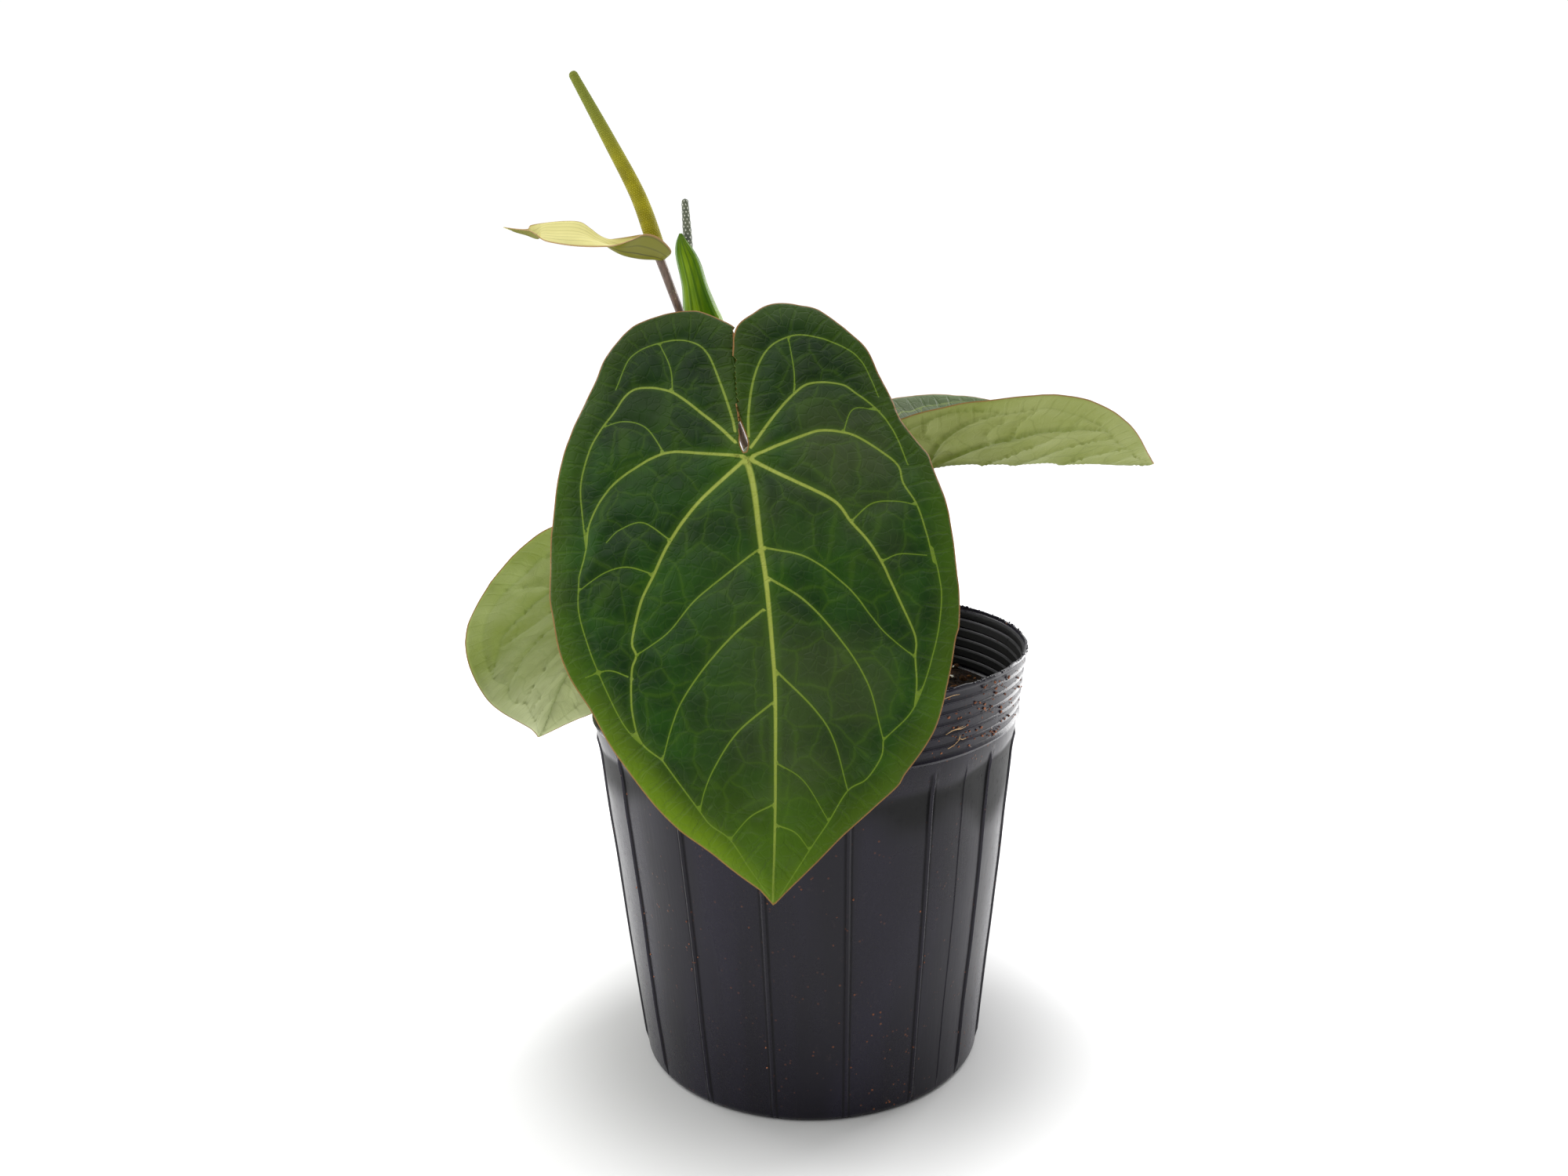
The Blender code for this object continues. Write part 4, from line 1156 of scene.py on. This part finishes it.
olive = Finish("spadix_flowers", specular_ior_level=0.2)
from_flower = olive.worn("from_flower")
olive_tone = olive.blend(srgb(124, 116, 0), srgb(150, 142, 4), olive.grain(180, 3).rises(0.3, 0.7))
olive_tone = olive.blend(olive_tone, srgb(116, 124, 40), olive.along("Z").rises(0.300, 0.330))
olive_tone = olive.blend(olive_tone, srgb(96, 98, 12), from_flower.rises(0.38, 0.62) * 0.8)
olive_tone = olive.blend(olive_tone, srgb(186, 184, 110), from_flower.rises(0.2, 0.05) * 0.6)
olive.finish(olive_tone, 0.6, from_flower.rises(0.7, 0.0), 0.0001)
spike("spadix_spike", [(-0.0430, -0.0321, 0.2812), (-0.0446, -0.0321, 0.2867), (-0.0489, -0.0325, 0.2995),
                       (-0.0570, -0.0331, 0.3160), (-0.0668, -0.0340, 0.3350)],
      2.65 * MM, [0.8, 0.98, 0.9, 0.74, 0.5], 22, 0.14 * MM, olive, ["spadix"])

grey = Finish("young_spadix_flowers")
from_flower = grey.worn("from_flower")
grey_tone = grey.blend(srgb(74, 82, 66), srgb(100, 106, 84), grey.grain(400, 3).rises(0.3, 0.7))
grey_tone = grey.blend(grey_tone, srgb(40, 46, 36), from_flower.rises(0.4, 0.62) * 0.8)
grey_tone = grey.blend(grey_tone, srgb(226, 226, 214), from_flower.rises(0.23, 0.14))
grey.finish(grey_tone, 0.55, from_flower.rises(0.7, 0.0), 0.0002)
spike("young_spadix_spike", [(-0.0345, -0.0107, 0.2655), (-0.0348, -0.0112, 0.2745), (-0.0353, -0.0120, 0.2880),
                             (-0.0357, -0.0125, 0.2990)],
      1.45 * MM, [0.8, 1.0, 0.98, 0.72], 7, 0.2 * MM, grey, ["young_spadix"])

# The spathe's near edge, keel and far edge in mm, from where it clasps the stalk to its tip.
SPATHE_STATIONS = [
    ((-41.1, -33.5, 280.0), (-41.7, -32.0, 279.9), (-42.5, -30.0, 280.7)),
    ((-39.0, -35.0, 282.0), (-42.6, -35.0, 279.7), (-41.8, -28.5, 283.4)),
    ((-40.5, -36.5, 284.5), (-44.6, -36.0, 279.9), (-42.5, -28.5, 285.5)),
    ((-43.1, -38.0, 286.6), (-47.5, -37.5, 280.1), (-44.1, -29.0, 287.0)),
    ((-46.3, -39.5, 287.3), (-50.9, -38.5, 280.7), (-47.8, -31.0, 287.4)),
    ((-49.9, -41.0, 285.8), (-53.8, -39.5, 281.6), (-52.3, -34.0, 286.7)),
    ((-53.3, -42.5, 284.5), (-56.5, -40.5, 283.1), (-55.4, -36.5, 286.2)),
    ((-56.2, -43.5, 283.8), (-58.8, -41.0, 284.7), (-57.6, -38.0, 286.0)),
    ((-59.3, -44.5, 283.7), (-61.6, -41.5, 286.0), (-60.1, -39.0, 287.1)),
    ((-62.4, -45.5, 283.7), (-64.6, -42.5, 287.5), (-62.8, -40.0, 289.3)),
    ((-66.9, -46.5, 284.0), (-68.3, -43.5, 288.1), (-65.6, -40.5, 291.1)),
    ((-71.3, -47.5, 284.7), (-73.1, -44.5, 288.2), (-70.1, -41.5, 291.4)),
    ((-75.4, -48.0, 285.7), (-76.4, -45.5, 288.2), (-75.2, -43.0, 291.0)),
    ((-78.0, -48.2, 287.7), (-77.7, -46.5, 286.5), (-79.7, -45.0, 290.3)),
    ((-79.9, -48.2, 288.7), (-80.9, -47.0, 287.5), (-80.4, -46.5, 289.2)),
    ((-83.8, -48.0, 289.2), (-84.0, -47.5, 288.4), (-83.9, -47.8, 289.3)),
    ((-87.2, -47.8, 289.8), (-87.3, -47.8, 289.7), (-87.2, -47.8, 289.8)),
]


def bract_skin(name, inner, outer, line, edge, lines):
    """A bract's finish: pale inside, deeper outside, with long veins that run to the tip."""
    skin = Finish(name, coat_weight=0.05)
    across, outside = skin.worn("across"), skin.worn("outside")
    wander = skin.grain(90, 2) * 0.02
    vein = ((across + wander) * lines).maths("SINE").rises(0.72, 0.98)
    colour = skin.blend(inner, outer, outside.rises(0.25, 0.75))
    colour = skin.blend(colour, skin.blend(line, srgb(70, 70, 10), outside), vein * (outside * 0.55 + 0.3))
    # Painted shade: darker creases between the pleats on the spathe's outside, with a faint darker tone of random
    # spread mixed in.
    painted_pleat_shade = (across * lines * 0.31).maths("SINE").rises(-0.6, 0.9)
    colour = skin.blend(colour, line, painted_pleat_shade * outside * 0.5 + skin.grain(70, 1).rises(0.45, 0.75) * 0.15)
    colour = skin.blend(colour, edge, skin.worn("edge").rises(0.93, 0.995) * 0.8)
    skin.finish(colour, 0.42 + skin.grain(100, 1) * 0.15, vein, 0.00005, 0.3)
    return skin


SPATHE_STEPS = 5
SPATHE_ACROSS = 17


def bract(name, stations, finish, nodes):
    """A bract through stations of (one edge, keel, other edge), each a round section."""
    flat = smooth_route([[value for point in station for value in point] for station in stations],
                        SPATHE_STEPS)
    rows, across, edge = [], [], []
    for step, values in enumerate(flat):
        near, keel, far = values[:3], values[3:6], values[6:]
        run = step / (len(flat) - 1)
        row = []
        for share in np.linspace(0, 1, SPATHE_ACROSS):
            point = (near * (1 - share) * (1 - 2 * share) + keel * 4 * share * (1 - share)
                     + far * share * (2 * share - 1))
            ripple = 0.2 * math.sin(share * math.tau * 1.5) * math.sin(math.pi * min(run * 1.1, 1.0))
            row.append(Vector(point) * MM + Vector((0, 0, ripple * MM)))
            across.append(share)
            edge.append(abs(2 * share - 1))
        rows.append(row)
    sheet_of(name, rows, 0.34 * MM, finish.material, nodes, [("across", across), ("edge", edge)])


pale = bract_skin("spathe_skin", srgb(224, 216, 138), srgb(118, 116, 22), srgb(126, 126, 40), srgb(176, 132, 90), 46.0)
bract("open_spathe", SPATHE_STATIONS, pale, ["spathe"])

YOUNG_SPATHE = [(-28.6, 247.0, 1.9), (-29.6, 251.0, 4.4), (-30.4, 256.0, 6.2), (-31.2, 261.0, 6.1), (-32.0, 264.5, 5.3),
                (-33.4, 271.5, 4.0), (-35.0, 278.5, 3.6), (-36.2, 282.5, 2.9), (-37.0, 285.5, 1.7),
                (-37.3, 288.1, 0.3)]
hood = smooth_route(YOUNG_SPATHE, 6)
rows, across, edge = [], [], []
for step, (middle, height, half) in enumerate(hood):
    back = float(np.interp(height, (247, 258, 270, 288), (-9.2, -11.2, -12.4, -14.2)))
    deep = min(half * 0.8, 3.4)
    row = []
    for share in np.linspace(-1, 1, 29):
        turn = share * math.radians(float(np.interp(height, (247, 262, 280, 288), (150, 145, 125, 80))))
        fold = 1 + 0.05 * math.cos(turn * 7) * min(half / 3, 1)
        row.append(Vector((middle + half * fold * math.sin(turn), back - deep * fold * math.cos(turn), height)) * MM)
        across.append(share)
        edge.append(abs(share))
    rows.append(row)
fresh = Finish("young_spathe_skin", specular_ior_level=0.18)
lines_across = ((fresh.worn("across") + fresh.grain(60, 2) * 0.06) * 26.0).maths("SINE")
fresh_colour = fresh.blend(srgb(72, 112, 0), srgb(118, 148, 0), fresh.grain(160, 3, (1, 1, 0.2)).rises(0.35, 0.65))
fresh_colour = fresh.blend(fresh_colour, srgb(44, 84, 4), lines_across.rises(0.4, 0.95) * 0.55)
fresh_colour = fresh.blend(fresh_colour, srgb(44, 82, 10), fresh.along("Z").rises(0.276, 0.288) * 0.6)
fresh_colour = fresh.blend(fresh_colour, srgb(60, 70, 20), fresh.worn("edge").rises(0.95, 1.0) * 0.6)
fresh.finish(fresh_colour, 0.38, lines_across.rises(0.0, 1.0), 0.0003, 0.5)
sheet_of("young_spathe_hood", rows, 0.35 * MM, fresh.material, ["young_spathe"],
         [("across", across), ("edge", edge)])


# ---- Bark chips and roots
# Broken pieces of pine bark on top of the mix: layered and rough, with darker patches. The five thick roots at
# the crown keep their plain round bodies and take a pale corky skin.

bark = Finish("bark_chip")
layers = bark.grain(420, 5, (1, 1, 3.0), 0.65)
bark_colour = bark.blend(srgb(60, 34, 24), srgb(138, 90, 58), layers.rises(0.35, 0.7))
bark_colour = bark.blend(bark_colour, srgb(34, 24, 20), bark.cells(300).rises(0.25, 0.5) * 0.6)
bark.finish(bark_colour, 0.88, layers + bark.cells(500), 0.0008)
for k in range(1, 10):
    low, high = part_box(f"bark_chip_{k}")
    middle, size = (low + high) / 2, high - low
    bpy.ops.object.select_all(action="DESELECT")
    bpy.ops.mesh.primitive_cube_add(size=1.0, location=middle, scale=(size.x * 0.86, size.y * 0.86, size.z))
    chip = bpy.context.object
    bpy.ops.object.transform_apply(location=True, rotation=True, scale=True)
    bpy.ops.object.mode_set(mode="EDIT")
    bpy.ops.mesh.select_all(action="SELECT")
    bpy.ops.mesh.subdivide(number_cuts=9, smoothness=0.0)
    bpy.ops.object.mode_set(mode="OBJECT")
    for vertex in chip.data.vertices:
        point = vertex.co - middle
        out = max(abs(point.x) / size.x, abs(point.y) / size.y) * 2
        notch = noise.noise(vertex.co * 190 + Vector((k * 7.0, 0, 0)))
        point.xy *= 1 + 0.3 * notch * out
        point.z *= 1 - 0.3 * out ** 4 + 0.35 * noise.noise(vertex.co * 330 + Vector((0, k * 3.0, 0)))
        vertex.co = middle + point
    bpy.ops.object.shade_smooth_by_angle(angle=math.radians(35))
    new_piece(f"bark_piece_{k}", bark.material, [f"bark_chip_{k}"])

cork = Finish("root_skin")
cork_tone = cork.grain(600, 4, (1, 1, 0.4))
cork_colour = cork.blend(srgb(150, 128, 92), srgb(196, 176, 138), cork_tone.rises(0.3, 0.7))
cork.finish(cork_colour, 0.8, cork_tone, 0.0004)
for k in range(1, 6):
    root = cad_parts[f"root_{k}"]
    for skin_slot in root.material_slots:
        skin_slot.material = cork.material
